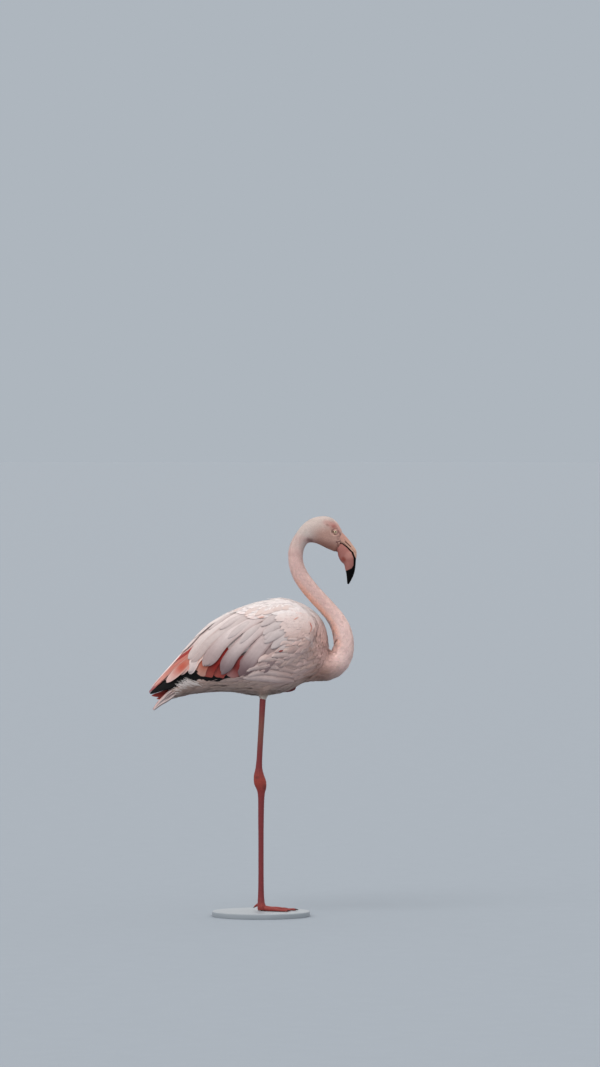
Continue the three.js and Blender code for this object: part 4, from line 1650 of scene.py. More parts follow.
# ---------------------------------------------------------------- the legs
@dataclass
class Legs:
    """The standing right leg with its webbed foot, and the left leg folded up against the belly."""

    standing: Limb = Limb((
        (6.4, -24.2, 500, 6.6, 6.4), (4.6, -22.4, 484, 6.4, 6.2), (1.5, -18.4, 430, 5.8, 5.6),
        (-1.2, -15, 385, 5.6, 5.3), (-3.4, -12.4, 345, 5.7, 5.2), (-4.6, -11.2, 322, 7.0, 6.0),
        (-4.4, -10.2, 303, 11.4, 8.8), (-2, -9.6, 290, 13.2, 9.9), (0.4, -9.2, 279, 11.4, 8.9),
        (0.6, -8.6, 266, 7.6, 6.5), (0.5, -7.6, 250, 6.3, 5.5), (0, -6, 205, 5.7, 4.9),
        (0, -4, 150, 5.3, 4.5), (0, -2, 95, 5.3, 4.5), (0, -0.6, 50, 5.7, 4.9), (0, 0, 30, 6.4, 5.7),
        (0.4, 0, 17, 8.3, 8.7), (1.6, 0, 8, 9.8, 10.6), (2, 0, 1.5, 9.4, 10),
    ))
    toes: tuple[Triple, ...] = ((34, 67.1, 4.4), (2, 78, 4.8), (-32, 71.8, 4.4))
    hind: Limb = Limb((
        (-1, 2, 16, 3.6, 3.6), (-6, 4.4, 14, 3.3, 3.2), (-11, 6.6, 11, 2.7, 2.6), (-15, 8, 8, 1.9, 1.9),
    ))
    folded: tuple[Limb, ...] = (
        Limb((
            (-128, 31, 517, 5.6, 5.4), (-154, 25, 506, 5.8, 5.4), (-176, 20, 497.5, 6.8, 6),
            (-187, 18, 491, 10.3, 8.6), (-195, 18.4, 486.5, 8.5, 8), (-199, 19, 484.2, 4.6, 4.6),
        )),
        Limb((
            (-189, 22, 487.5, 7.6, 6.6), (-176, 25.6, 488.5, 6.6, 5.8), (-160, 27, 492, 6.1, 5.3),
            (-100, 31, 497, 5.5, 4.8), (-30, 34, 496, 5.3, 4.6), (30, 33, 500, 5.5, 4.8),
            (58, 31, 508, 6.2, 5.6), (72, 29, 510, 7, 7.4),
        )),
    )
    folded_toes: tuple[Limb, ...] = tuple(
        Limb((
            (69, 27 + dy, 508, 4.8, 4.4), (74, 24 + dy, 501.5, 4.8, 4.0), (67, 22.5 + dy, 497, 4.2, 3.6),
            (48, 24 + dy, 494.2, 3.5, 3.1), (24, 25 + dy * 0.7, 491.2, 2.8, 2.5),
            (12, 25.4 + dy * 0.5, 490.2, 1.8, 1.7),
        ))
        for dy in (-4.9, 0.0, 4.9)
    )
    claw_length: float = 8.4
    red: str = "802a2e"
    pale_red: str = "824f43"
    joint: str = "9a382c"
    dark_red: str = "5a201d"
    tucked: str = "6f2626"  # the toes, folded away from the light
    claw_colour: str = "2a2124"
    claw_root: str = "6a5650"
    skin: SkinFinish = SkinFinish("scaly_leg_skin", roughness=0.58, relief=0.16, scale=2.1, crevice=0.35)

    def scutes(self, points: Array) -> Array:
        """Return how far the broad scales down the leg's front and back stand out.

        Args:
            points: One row of x, y, z for each point.

        Returns:
            Heights in mm.
        """
        ring = 0.5 + 0.5 * np.cos(points[:, 2] / 6.4 * math.tau)
        line = -0.32 * smooth(ring, 0.93, 1.0)
        front = smooth(points[:, 0] + 0.012 * (points[:, 2] - 100), 1.5, 3.5)
        back = smooth(-points[:, 0], 2.5, 4.5) * smooth(points[:, 2], 280, 250)
        knuckle = -0.5 * smooth(0.5 + 0.5 * np.cos(points[:, 2] / 4.1 * math.tau), 0.8, 1.0) * np.exp(
            -(((points[:, 2] - 290) / 15) ** 2)
        )
        return line * np.maximum(front, 0.7 * back) + knuckle

    def leg_tint(self, points: Array) -> Array:
        """Return the colour of points of bare leg: paler half-way up the shin, brighter at the joints."""
        z = points[:, 2]
        return layered(self.red, points, [
            (self.pale_red, np.exp(-(((z - 408) / 38) ** 2)) * 0.85),
            (self.joint, np.exp(-(((z - 291) / 24) ** 2))),
            (self.dark_red, 0.5 * spot(points, -8, 301, 7, 4, 20)),
            (self.dark_red, 0.45 * spot(points, 8, 279, 6, 9, 20)),
            (self.joint, 0.6 * smooth(z, 24, 10)),
        ])

    def build_standing(self) -> Object:
        """Build the skin of the standing leg and its webbed foot in one."""
        toes = [self.toe(*each) for each in self.toes]
        webs = [self.web(self.toes[0], self.toes[1]), self.web(self.toes[1], self.toes[2])]
        hind = closed_form("hind", self.hind.rows(24, 20), end=1.0)
        shank = closed_form("shank", self.standing.rows(240, 40))
        leg = melt(join([shank, *toes, *webs, hind], "leg_right_skin"), 0.85, 2)
        points = points_of(leg)
        high = smooth(points[:, 2], 18, 26) * (np.hypot(points[:, 0] - 1, points[:, 1]) < 60)
        points = points + normals_of(leg) * ((0.75 + self.scutes(points)) * high)[:, None]
        points[:, 2] = np.maximum(points[:, 2], 0.05)
        set_points(leg, points)
        tint = self.leg_tint(points)
        reach = np.hypot(points[:, 0], points[:, 1])
        heading = np.degrees(np.arctan2(points[:, 1], points[:, 0]))
        off = np.min([np.abs(heading - each[0]) for each in self.toes], axis=0) * reach / 57.3
        web = smooth(off, 4, 9) * smooth(reach, 15, 30) * smooth(points[:, 2], 20, 12)
        paint(leg, tint=blend(tint, self.pale_red, web * 0.8))
        dress(leg, self.skin.make())
        return leg

    def toe(self, heading: float, length: float, radius: float) -> Object:
        """Build one front toe, with its pads and a flat sole.

        Args:
            heading: Where it points, in degrees to the left of ahead.
            length: Its length without the claw.
            radius: Half its width at the root.

        Returns:
            The toe.
        """
        ahead = ahead_of(heading)
        wide = np.array([-ahead[1], ahead[0], 0.0])
        share = np.linspace(0, 1, 60)
        around = circle(28)
        pads = 1 + 0.09 * np.cos(share * 4 * math.pi)
        r = radius * (1 - 0.42 * share) * pads * np.where(share > 0.97, 0.8, 1.0)
        rise = radius * 0.55 * (1 - share) ** 2
        flat = ahead * (length * share)[:, None]
        rows = flat[:, None] + wide * (r[:, None] * np.cos(around))[..., None]
        rows[..., 2] = (r * 0.8 + rise)[:, None] + (r + rise)[:, None] * np.sin(around)
        scale = 0.28 * smooth(0.5 + 0.5 * np.cos(share * length / 4.2 * math.tau), 0.9, 1.0)
        rows[..., 2] -= scale[:, None] * np.clip(np.sin(around), 0, 1)
        rows[..., 2] = np.maximum(rows[..., 2], 0.3)
        return closed_form("toe", rows, end=1.2)

    def web(self, first: Triple, second: Triple) -> Object:
        """Build the web between two toes: a thin membrane that hangs a little between them.

        Args:
            first: Heading, length and radius of one toe.
            second: The same of the next.

        Returns:
            The web.
        """
        share, cross = np.meshgrid(np.linspace(0.02, 1, 44), np.linspace(0, 1, 30), indexing="ij")
        angle = np.radians(first[0] + (second[0] - first[0]) * cross)
        length = (first[1] + (second[1] - first[1]) * cross) * 0.9
        reach = length * share * (1 - 0.30 * np.sin(math.pi * cross) * share**1.5)
        folds = 0.22 * np.sin(cross * 26) * np.sin(math.pi * cross) * share
        x, y = reach * np.cos(angle), reach * np.sin(angle)
        top = np.stack([x, y, 1.75 + 0.5 * (1 - share) + folds], axis=-1)
        low = np.stack([x, y, np.full_like(x, 0.35)], axis=-1)
        loops = np.concatenate([top, low[:, ::-1]], axis=1)
        return closed_form("web", loops)

    def horn(self, name: str, root: Array, ahead: Array, radius: float) -> Object:
        """Build one claw.

        Args:
            name: The object's name.
            root: Where it leaves the toe.
            ahead: Where it points.
            radius: Half its width at the root.

        Returns:
            The claw.
        """
        share = np.linspace(0, 1, 24)
        middle = root + ahead * (self.claw_length * share)[:, None]
        middle[:, 2] -= 0.9 * share**2
        wide = unit(np.cross([0.0, 0.0, 1.0], ahead))
        around = circle(20)
        size = radius * (1 - share) ** 0.75 + 0.25
        rows = middle[:, None] + wide * (size[:, None] * np.cos(around))[..., None]
        rows[..., 2] += size[:, None] * 0.85 * np.sin(around)
        rows[..., 2] = np.maximum(rows[..., 2], 0.3)
        claw = closed_form(name, rows)
        points = points_of(claw)
        far = np.linalg.norm(points - root, axis=1) / self.claw_length
        paint(claw, tint=layered(self.claw_colour, points, [(self.claw_root, smooth(far, 0.35, 0.0))]))
        smooth_shade(claw)
        dress(claw, HornFinish("dark_claw_horn", roughness=0.38).make())
        return claw

    def build_claws(self) -> dict[str, Object]:
        """Build the claws of the standing foot, by the end of their nodes' names."""
        claws = {}
        for (heading, length, radius), name in zip(self.toes, ("inner", "middle", "outer")):
            ahead = ahead_of(heading)
            root = ahead * (length - 1.5) + np.array([0, 0, radius * 0.42 + 0.9])
            claws[name] = self.horn(f"claw_{name}", root, ahead, radius * 0.46)
        back = unit(np.array([-0.9, 0.4, -0.55]))
        claws["hind"] = self.horn("claw_hind", np.array([-14.4, 7.8, 8.2]), back * 0.55, 1.5)
        return claws

    def build_folded(self) -> Object:
        """Build the skin of the folded leg and its toes."""
        parts = [closed_form("folded", limb.rows(90, 32), start=2.0, end=2.0) for limb in self.folded]
        for limb in self.folded_toes:
            parts.append(closed_form("folded_toe", limb.rows(60, 20), start=1.5, end=1.5))
        leg = melt(join(parts, "leg_left_skin"), 1.2, 3)
        points = points_of(leg)
        rings = -0.3 * smooth(0.5 + 0.5 * np.cos(points[:, 0] / 6.2 * math.tau), 0.9, 1.0)
        swell(leg, points, rings)
        x = points[:, 0]
        layers = [(self.joint, smooth(x, -172, -186)), (self.tucked, smooth(x, 40, 66) * 0.8)]
        paint(leg, tint=layered(self.red, points, layers))
        dress(leg, self.skin.make())
        return leg


# ---------------------------------------------------------------- big feathers
@dataclass(frozen=True)
class Quill:
    """A big feather: its shaft seen from the side, half its width, how deep it lies, and its colours."""

    line: Line
    half: float
    layer: float
    vane: str
    tip: str = ""
    edge: str = ""
    core: str = ""
    point: float = 0.15
    camber: float = 1.6
    ragged: float = 0.03
    sink: float = 2.5  # how much deeper its root lies


BED = Profile(
    tops=(
        (-251, 497), (-226, 521), (-192, 556), (-156, 597.5), (-113, 642), (-60, 671), (-6, 689),
        (45, 703), (84, 697), (115, 680), (138, 656), (149, 628), (152, 604),
    ),
    bottoms=(
        (-248, 483), (-221, 473), (-189, 478), (-150, 489), (-109, 492), (-62, 491), (-15, 482), (35, 486),
        (70, 497), (94, 512), (115, 515), (131, 519), (142, 530),
    ),
    halves=(1.8, 10.5, 21, 35, 51, 63, 72, 77, 74, 64, 50, 37, 27),
    widest=(0.5, 0.52, 0.52, 0.5, 0.5, 0.52, 0.53, 0.54, 0.54, 0.52, 0.5, 0.48, 0.47),
)


def heights(surface: BVHTree, base: Array, out: Array, side: Side) -> Array:
    """Measure how high a surface lies over a form.

    Args:
        surface: The surface.
        base: Points of the form on the left side.
        out: The outward directions there.
        side: The side to measure on.

    Returns:
        The heights.
    """
    high, deep = 26, 40  # where the search starts over the form, and how far down it goes
    found = np.full(len(base), 2.0)
    for number, (place, way) in enumerate(zip(base, out)):
        start = Vector((place + way * high) * (1, side.value, 1))
        inward = Vector(-way * (1, side.value, 1))
        gone = 0.0
        while gone < deep:
            _, normal, _, run = surface.ray_cast(start + inward * gone, inward, deep - gone)
            if run is None:
                break
            gone += run
            if normal.dot(inward) < 0:
                found[number] = np.clip(high - gone, 0.8, 12.0)
                break
            gone += 0.1
    return found


def lay(
    name: str, quills: list[Quill], bed: Profile, surface: BVHTree, side: Side, rng: Chance,
    stations: int = 20, columns: int = 7, thick: float = 0.5,
) -> Object:
    """Lay big feathers over a form, one over another as in a folded wing or tail.

    Args:
        name: The object's name.
        quills: The feathers.
        bed: The form that their places are found on.
        surface: The coat's outer surface, which the uppermost feathers reach.
        side: The bird's side.
        rng: The source of small differences.
        stations: Points along each feather.
        columns: Points across it.
        thick: The vanes' thickness.

    Returns:
        The feathers in one mesh.
    """
    vanes = Vanes(stations, columns)
    share = vanes.shares()
    across = np.abs(np.linspace(-1, 1, columns))
    centres, normals, halves, tints, cambers, places = [], [], [], [], [], []
    for number, quill in enumerate(quills):
        line = np.array(quill.line) + rng.normal(0, 0.5, (len(quill.line), 2))
        path = catmull(line, share * (len(line) - 1))
        u, angle = bed.locate(path)
        base = bed.place(u, angle)
        out = bed.normal(u, angle)
        up = unit(bed.place(u, angle + 0.03) - bed.place(u, angle - 0.03))
        height = heights(surface, base, out, side)
        padded = np.pad(height, 2, mode="edge")
        height = np.convolve(padded, np.ones(5) / 5, mode="valid")
        deep = quill.layer + quill.sink * (1 - share) ** 1.5
        centre = base + out * (np.maximum(height - deep, -2.0))[:, None]
        centre[:, 1] = np.maximum(centre[:, 1], 0.4)
        lean = unit(out + 0.07 * up)
        centres.append(centre * (1, side.value, 1))
        normals.append(lean * (1, side.value, 1))
        halves.append(quill.half * vanes.outline(quill.point))
        tone = 1 + rng.normal(0, 0.02)
        tint = np.tile(rgb(quill.vane) * tone, (stations, columns, 1))
        # Where a feather's edge or tip is darker than its vane, it is painted shade between and under the
        # feathers; where its core is paler, it is painted light along the middle.
        for colour, weight in (
            (quill.core, (1 - across**1.5)[None, :] * smooth(share, 0.2, 0.5)[:, None] * 0.9),
            (quill.edge, smooth(across, 0.62, 1.0)[None, :] * np.ones((stations, 1)) * 0.85),
            (quill.tip, smooth(share, 0.5, 0.97)[:, None] * np.ones((1, columns)) * 0.9),
        ):
            if colour:
                tint = blend(tint, colour, weight)
        streaks = np.convolve(rng.normal(0, 0.035, columns + 2), np.ones(3) / 3, mode="valid")
        tint = tint * (1 + streaks[None, :, None] * smooth(share, 0.0, 0.8)[:, None, None])
        tint[:, columns // 2] *= 1.03
        tints.append(tint)
        cambers.append(quill.camber)
        places.append((0.06 + 0.115 * (number % 8), 0.04 + 0.07 * (number // 8)))  # eight in a row
    ragged = vanes.rough(len(quills), rng) * np.array([quill.ragged for quill in quills])[:, None]
    return vanes.build(
        name, np.array(centres), np.array(normals), np.array(halves), np.clip(tints, 0, 1),
        np.array(places), thick, np.array(cambers), ragged, patch=(0.05, 0.03),
    )


@dataclass
class Wing:
    """A folded wing: black flight feathers, the red feathers over them, and the pale ones on top."""

    black: str = "0a090a"
    white: str = "d6c9c7"
    coral: str = "e58a78"
    # partly the coverts' own crimson, partly painted shade where they show between the pale tips
    crimson: str = "902822"
    dark_red: str = "a3403a"
    peach: str = "eebfae"
    # grey and mauve: the darker tips of the lower pale feathers, painted shade
    grey: str = "846d6f"
    mauve: str = "745659"
    rosy_down: str = "c49a92"
    pale_down: str = "e2d0cc"

    def flight(self, side: Side) -> list[Quill]:
        """List the black flight feathers, and the two red ones that droop below the left wing's tip.

        Args:
            side: The wing's side.

        Returns:
            The feathers, from the lowest to the uppermost.
        """
        rows = (
            (((-8, 533), (-75, 525), (-130.5, 522.5)), 8),
            (((-22, 532), (-100, 523), (-162, 525)), 8),
            (((-47.2, 530), (-128.2, 524.4), (-182, 518.8)), 8),
            (((-87.8, 527.5), (-150.8, 524), (-200, 505)), 8),
            (((-123.8, 532), (-176, 520), (-224, 497)), 12),
            (((-132, 538), (-186, 522), (-240, 493.5)), 15),
            (((-140, 546), (-196, 520), (-249, 489)), 14),
        )
        quills = [
            Quill(line, half, 2.4 - 0.25 * number, self.black, "", "100d0e", "", 0.55, 0.8, 0.0, 5.0)
            for number, (line, half) in enumerate(rows)
        ]
        red = (
            (((-180, 508), (-212, 490), (-247, 485)), 9.0, 0.6, self.dark_red, "", "b9786f", "", 0.5),
            (((-170, 506), (-202, 487), (-233, 478)), 10.0, 0.9, "9a4640", "", "a8695f", "", 0.6),
        )
        if side is Side.LEFT:
            quills += [Quill(*row, camber=0.8, ragged=0.0) for row in red]
        return quills

    def red(self) -> list[Quill]:
        """List the red and rosy feathers, which show between the tips of the pale ones."""
        blunt = -0.4
        # The crimson feathers and their darker cores are partly their own colour, partly painted shade in
        # the gaps between the pale feathers' tips.
        rows = (
            (((33.8, 573.8), (2.2, 549), (-22, 529)), 15, 4.6, "b39496", "c2a9aa", "", "", blunt),
            (((4.5, 573.8), (-24.8, 549), (-49.2, 526.6)), 16, 4.4, "a8797c", "c9adab", "", "", blunt),
            (((-22.5, 580.5), (-51.8, 551.2), (-74.2, 526)), 16, 4.2,
             "8f3f3d", "b9837e", "", "7a2a28", blunt),
            (((-51.8, 587.2), (-81, 555.8), (-103, 526)), 16, 4.0,
             self.crimson, "b0574e", "", "6a1613", blunt),
            (((-76.5, 596.2), (-108, 562.5), (-128, 527)), 16, 3.8,
             self.crimson, "b3584d", "", "5c1210", blunt),
            (((-98, 592), (-124, 562), (-140, 529)), 13, 3.5, "b9644f", "d9a292", "", "a8492f", blunt),
            (((-112, 596), (-145, 566), (-160, 533)), 13, 2.7, self.peach, "efdcd9", "f0dad6", "cf7550"),
            (((-104, 610), (-150, 572), (-180, 532)), 12, 3.0, self.coral, "f0cdc4", "", "dd6a58"),
            (((-122, 606), (-165, 560), (-186, 538), (-213, 514)), 12, 1.8,
             "bf7d6e", "e2c0ba", "dfb5aa", "b8513f"),
            (((-124, 610), (-161, 574), (-190, 549.5), (-213.8, 528), (-240, 504)), 7, 1.5,
             "bd7468", "cf958b", "cf978c"),
            (((-124, 618), (-158, 583), (-192, 557), (-210, 542.5), (-243, 508)), 5.2, 0.9,
             "9c3a36", "b4544c", "", "", 0.4, 0.8),
            (((-128, 627), (-164, 590), (-200, 560), (-220, 540), (-250, 500)), 6.6, 0.3,
             "f1dad6", "e6b4ae", "e3a79f", "", 0.5, 0.8),
            (((-214, 524), (-232, 510), (-257, 487)), 4.5, 0.9, "b0605c", "8d5a62", "", "", 0.7, 0.8),
        )
        return [Quill(*row) for row in rows]

    def pale(self) -> list[Quill]:
        """List the long pale feathers that fan out over the rest, from the lowest to the uppermost."""
        rows = (
            # The lower rows' darker tips and edges are painted shade where the feathers end under the
            # others.
            (((112, 632), (92, 596), (66, 560), (52, 540)), 15, 4.2, "bda49d", "b2968f", "b2968f"),
            (((103.5, 643.5), (74.2, 607.5), (42.8, 571.5), (22.5, 544)), 18, 2.7,
             "bda7a2", "9d8683", "ab9693"),
            (((92.2, 654.8), (54, 618.8), (13.5, 569.2), (-13.5, 533.5)), 18, 2.1,
             "a38e8c", self.grey, "937c7a"),
            (((81, 663.8), (27, 627.8), (-18, 576), (-49.5, 528.1)), 17, 1.7,
             "c6b3b1", self.mauve, "a78b89", "c6b4b3"),
            (((67.5, 670.5), (0, 636.8), (-55, 587.2), (-90, 534)), 15, 1.3,
             "c8b6b4", self.grey, "af9795", "cfc0bf"),
            (((54, 675), (-20.2, 652.5), (-80.5, 609.8), (-127, 551)), 17, 0.9,
             "cabab8", "a48e8d", "bda7a4", "d3c6c5"),
            (((20, 679.5), (-56.2, 641.2), (-127, 596), (-162, 534)), 11.5, 1.5,
             "cdb9b6", "e6d3cf", "cfb3ad"),
            (((30, 684), (-52, 650), (-112, 608), (-154, 557)), 12, 1.0, "c3b5b3", "b9a6a3", "bfa29d"),
            (((11.2, 686), (-60.8, 661), (-120, 618), (-162, 563)), 11, 0.7,
             self.white, "c2b1ae", "c3aaa5"),
            (((6.8, 692.8), (-63, 675.8), (-126.8, 631.9), (-175, 577)), 11.5, 0.5,
             self.white, "d0c2c0", "cdb8b4"),
            (((36, 702), (-40, 692), (-100, 660), (-150, 609)), 14, 0.3, self.white, self.white, "d3c3c0"),
            (((52, 704), (-24, 700), (-80, 680), (-124, 640)), 14, 0.1, "d7ccca", "d7ccca", "cdbfbc"),
        )
        return [Quill(*row, point=-0.3, camber=2.6) for row in rows]

    def coverts(self) -> list[Quill]:
        """List the smaller feathers that lie over the upper halves of the long ones."""
        rows = (
            (((111, 628.7), (87.3, 618), (61.5, 600.7), (35.6, 586)), 11),
            (((106.7, 637.3), (76.5, 628.7), (48.6, 613.7), (22.7, 592.1)), 13),
            (((104.5, 645.9), (70.1, 641.6), (35.6, 626.6), (7.7, 605)), 13),
            (((46.4, 661), (29.2, 639.5), (10, 612)), 10),
            (((98.1, 656.7), (65.8, 656.7), (33.5, 643.8), (5, 622)), 13),
            (((14.1, 650.2), (-20.3, 628.7), (-46, 603)), 10),
            (((87.3, 665.3), (57.2, 667.5), (29.2, 658.9), (1.2, 639.5)), 12),
            (((1.2, 658.9), (-33.2, 643.8), (-72, 612.6)), 10),
            (((-11.7, 671.8), (-50.5, 656.7), (-91.4, 630.9)), 10),
            (((-31.1, 680.4), (-74.1, 661), (-115, 628.7)), 10),
        )
        # The darker edge is painted shade between the coverts, the paler core painted light.
        look = ("beafad", "c1b3b2", "a99998", "c8bcbb", 0.2, 2.4, 0.02, 4.0)
        return [Quill(line, half, 0.5 - 0.06 * number, *look) for number, (line, half) in enumerate(rows)]

    def plumes(self) -> list[Quill]:
        """List the long soft feathers of the flank, which curve back along the folded wing's lower edge."""
        rows = (
            (((87.3, 514.6), (44.3, 521.1), (-7.4, 527.6), (-41.9, 527.6)), 12.5),
            (((89.5, 523.2), (44.3, 534), (1.2, 540.5), (-33.2, 529.7)), 11.5),
            (((95.9, 529.7), (57.2, 544.8), (18.4, 556.6), (-16, 552.3), (-33.2, 540.5)), 11.5),
            (((100.2, 540.5), (65.8, 559.8), (33.5, 572.8), (5.5, 570.6), (-7.4, 562)), 11.5),
            (((106.7, 549.1), (83, 572.8), (61.5, 583.5), (35.6, 580.3), (22.7, 573.8)), 11.5),
            (((106.7, 562), (91.6, 587.8), (72.2, 602.9), (52.9, 607.2), (41, 598.6)), 10.5),
            (((108.8, 570.6), (100.2, 596.4), (85.2, 611.5), (70.1, 615.8), (57.2, 611.5)), 9.5),
            (((115.3, 570.6), (115.3, 596.4), (106.7, 613.7), (93.8, 620.1)), 8.5),
        )
        # The darker edge is painted shade under each plume, the paler tip and core painted light along its
        # upper side.
        look = ("bca19b", "cfb9b4", "a0847d", "cfb9b4", 0.3, 4.5, 0.04, 3.5)
        return [Quill(line, half, -0.2, *look) for line, half in rows]

    def scapulars(self) -> list[Quill]:
        """List the broad feathers of the shoulder, which lie in an arched row over the wing."""
        lines = (
            ((26, 700), (-18, 690), (-62, 667)), ((50, 700), (8, 688), (-36, 662)),
            ((70, 698), (30, 686), (-12, 660)), ((88, 694), (50, 686), (6, 664)),
            ((94, 690), (62, 686), (26, 671)), ((102, 684), (78, 683), (48, 675)),
        )
        look = ("d3c9c8", "d3beb8", "d3c6c4", "", 0.3, 1.4, 0.02, 5.5)
        return [
            Quill(line, 14 - 0.5 * number, -0.3 - 0.06 * number, *look) for number, line in enumerate(lines)
        ]

    def down(self, surface: BVHTree, side: Side) -> Object:
        """Build the soft layer that all the wing's feathers lie on.

        Args:
            surface: The coat's outer surface.
            side: The bird's side.

        Returns:
            The layer.
        """
        u = np.linspace(0.5, 8.7, 60)
        low = np.interp(u, [0.5, 2, 3, 5, 7, 8, 8.7], [-0.05, 0.0, 0.0, -0.1, 0.15, 0.4, 0.6])
        angle = low[:, None] + (math.pi / 2 - low[:, None]) * np.linspace(0, 1, 24)
        place = np.repeat(u[:, None], 24, axis=1)
        base = BED.place(place.ravel(), angle.ravel())
        out = BED.normal(place.ravel(), angle.ravel())
        height = heights(surface, base, out, side).reshape(60, 24)
        for _ in range(4):
            wide = np.pad(height, 1, mode="edge")
            height = (wide[:-2, 1:-1] + wide[2:, 1:-1] + wide[1:-1, :-2] + wide[1:-1, 2:] + height) / 5
        sunk = 7.0 - 5.2 * smooth(angle / (math.pi / 2), 0.6, 0.92) * smooth(place, 8.7, 7.0)
        height = np.maximum(height - sunk, -2.0).ravel()[:, None]
        top = (base + out * height).reshape(60, 24, 3)
        under = (base + out * (height - 3)).reshape(60, 24, 3)
        top[..., 1] = np.maximum(top[..., 1], 0.3)
        under[..., 1] = np.maximum(under[..., 1], 0.2)
        loops = np.concatenate([top, under[:, ::-1]], axis=1) * np.array([1, side.value, 1])
        down = closed_form(f"wing_{side.name.lower()}_down", loops)
        points = points_of(down)
        high = smooth(points[:, 2] + 0.55 * points[:, 0], 440, 540)
        tint = layered(self.rosy_down, points, [(self.pale_down, high)])
        paint(down, tint=tint, barb=np.zeros(len(points)))
        smooth_shade(down)
        return down


@dataclass
class Tail:
    """The closed tail: seven narrow feathers a side, each over the last, from its underside to its top."""

    bed: Profile = Profile(
        tops=((-160, 532), (-192, 508), (-214, 490), (-231, 472.5), (-244.5, 452.5)),
        bottoms=((-168, 488), (-198, 479), (-215, 467), (-230, 457), (-243, 447)),
        halves=(19, 21, 20.5, 16.5, 9), widest=(0.4, 0.4, 0.4, 0.45, 0.5),
    )
    angles: tuple[float, ...] = (-66, -40, -14, 12, 36, 60, 84)  # degrees, from -90 at the bottom
    # painted shade of the tail's underside
    under: str = "a39a9b"
    upper: str = "c8bab8"
    rose: str = "d8988f"

    def build(self, side: Side, rng: Chance) -> Object:
        """Build one side of the tail.

        Args:
            side: The bird's side.
            rng: The source of small differences.

        Returns:
            The feathers in one mesh.
        """
        vanes = Vanes(18, 7)
        share = vanes.shares()
        angles = np.radians(self.angles)
        centres, normals, halves, tints = [], [], [], []
        for number, angle in enumerate(angles):
            u = 0.05 + (3.75 + 0.2 * number / 6) * share
            turn = np.full(len(share), angle) + rng.normal(0, 0.02)
            grow = -1.6 + 0.25 * number - 6.0 * (1 - share) ** 1.6
            centre = self.bed.place(u, turn, grow)
            centres.append(centre * (1, side.value, 1))
            normals.append(self.bed.normal(u, turn) * (1, side.value, 1))
            halves.append(8.4 * vanes.outline(0.85))
            # Painted shade: the lower feathers greyer, and every feather darker towards its root.
            tint = np.tile(rgb(self.under), (len(share), 7, 1))
            tint += (rgb(self.upper) - tint) * smooth(angle, -0.6, 0.4)
            tint *= (0.66 + 0.5 * share)[:, None, None]
            pink = smooth(angle, 0.2, 1.1) * 0.75 + 0.1
            tints.append(blend(tint, self.rose, (pink * (0.35 + 0.65 * share))[:, None]))
        places = np.array([(0.1 + 0.12 * i, 0.2 if side is Side.LEFT else 0.6) for i in range(len(angles))])
        ragged = np.abs(rng.normal(0, 0.03, (len(angles), 7)))
        return vanes.build(
            f"tail_{side.name.lower()}", np.array(centres), np.array(normals), np.array(halves),
            np.array(tints), places, 0.5, 1.2, ragged, patch=(0.05, 0.03),
        )


# ---------------------------------------------------------------- the coat
class Tract(Enum):
    """The parts of the coat that have feathers of their own cut."""

    OPEN = 0  # no small feathers: the wings' big ones, the lores, the rims of the eyes
    FACE = 1
    NECK = 2
    NECK_BASE = 3
    BREAST = 4
    BACK = 5
    RIDGE = 6
    SHOULDER = 7
    FLANK = 8
    BELLY = 9
    THIGH = 10


CUTS: dict[Tract, Cut] = {
    Tract.FACE: Cut(4.2, 0.95, 1.75, 0.5, 5, camber=0.08, lift=0.05, scatter=9, spread=0.03, shade=0.04),
    Tract.NECK: Cut(8.4, 1.8, 2.8, 1.0, 6, camber=0.12, lift=0.1, scatter=9, spread=0.035, shade=0.06),
    Tract.NECK_BASE: Cut(12, 2.4, 3.6, 1.4, 6, camber=0.2, lift=0.25, scatter=11, spread=0.04, shade=0.07),
    Tract.BREAST: Cut(18, 3.4, 4.6, 2.2, 7, 3, 0.06, 0.3, 0.6, 18, point=0.2, shade=0.1, spread=0.06),
    Tract.BACK: Cut(36, 6.0, 7.0, 2.2, 9, 5, 0.04, 0.35, 0.15, 5, point=0.3, shade=0.04, spread=0.02),
    Tract.RIDGE: Cut(42, 5.5, 8, 2.2, 9, camber=0.5, lift=0.2, scatter=4, spread=0.02, point=0.5),
    Tract.SHOULDER: Cut(42, 8.5, 7.5, 1.1, 10, 7, 0.04, 0.0, 0.0, 5, point=0.5, shade=0.0, spread=0.006),
    Tract.FLANK: Cut(60, 8.5, 11.5, 3.6, 11, 9, 0.06, 1.8, 0.7, 7, point=0.35, shade=0.1, spread=0.045),
    Tract.BELLY: Cut(44, 6.5, 8.5, 2.4, 9, 7, 0.06, 0.5, 0.3, 6, point=0.4, shade=0.06, spread=0.03),
    Tract.THIGH: Cut(13, 2.6, 3.4, 1.8, 6, camber=0.3, lift=0.25, scatter=10, spread=0.04, point=0.2),
}
# Barbs that have come loose from the feathers, cut as very narrow vanes.
LOOSE: dict[Tract, Cut] = {
    tract: Cut(*sizes, camber=0.0, lift=lift, scatter=scatter, spread=spread, point=0.8, shade=0.0)
    for tract, sizes, lift, scatter, spread in (
        (Tract.BREAST, (13, 0.6, 5.4, 0.6, 6), 0.5, 24, 0.08),
        (Tract.BACK, (24, 0.8, 6.0, 0.6, 6), 0.2, 7, 0.03),
        (Tract.FLANK, (40, 0.7, 19.0, 0.8, 8), 0.5, 13, 0.06),
        (Tract.BELLY, (30, 0.65, 12.0, 0.7, 7), 0.4, 10, 0.05),
    )
}


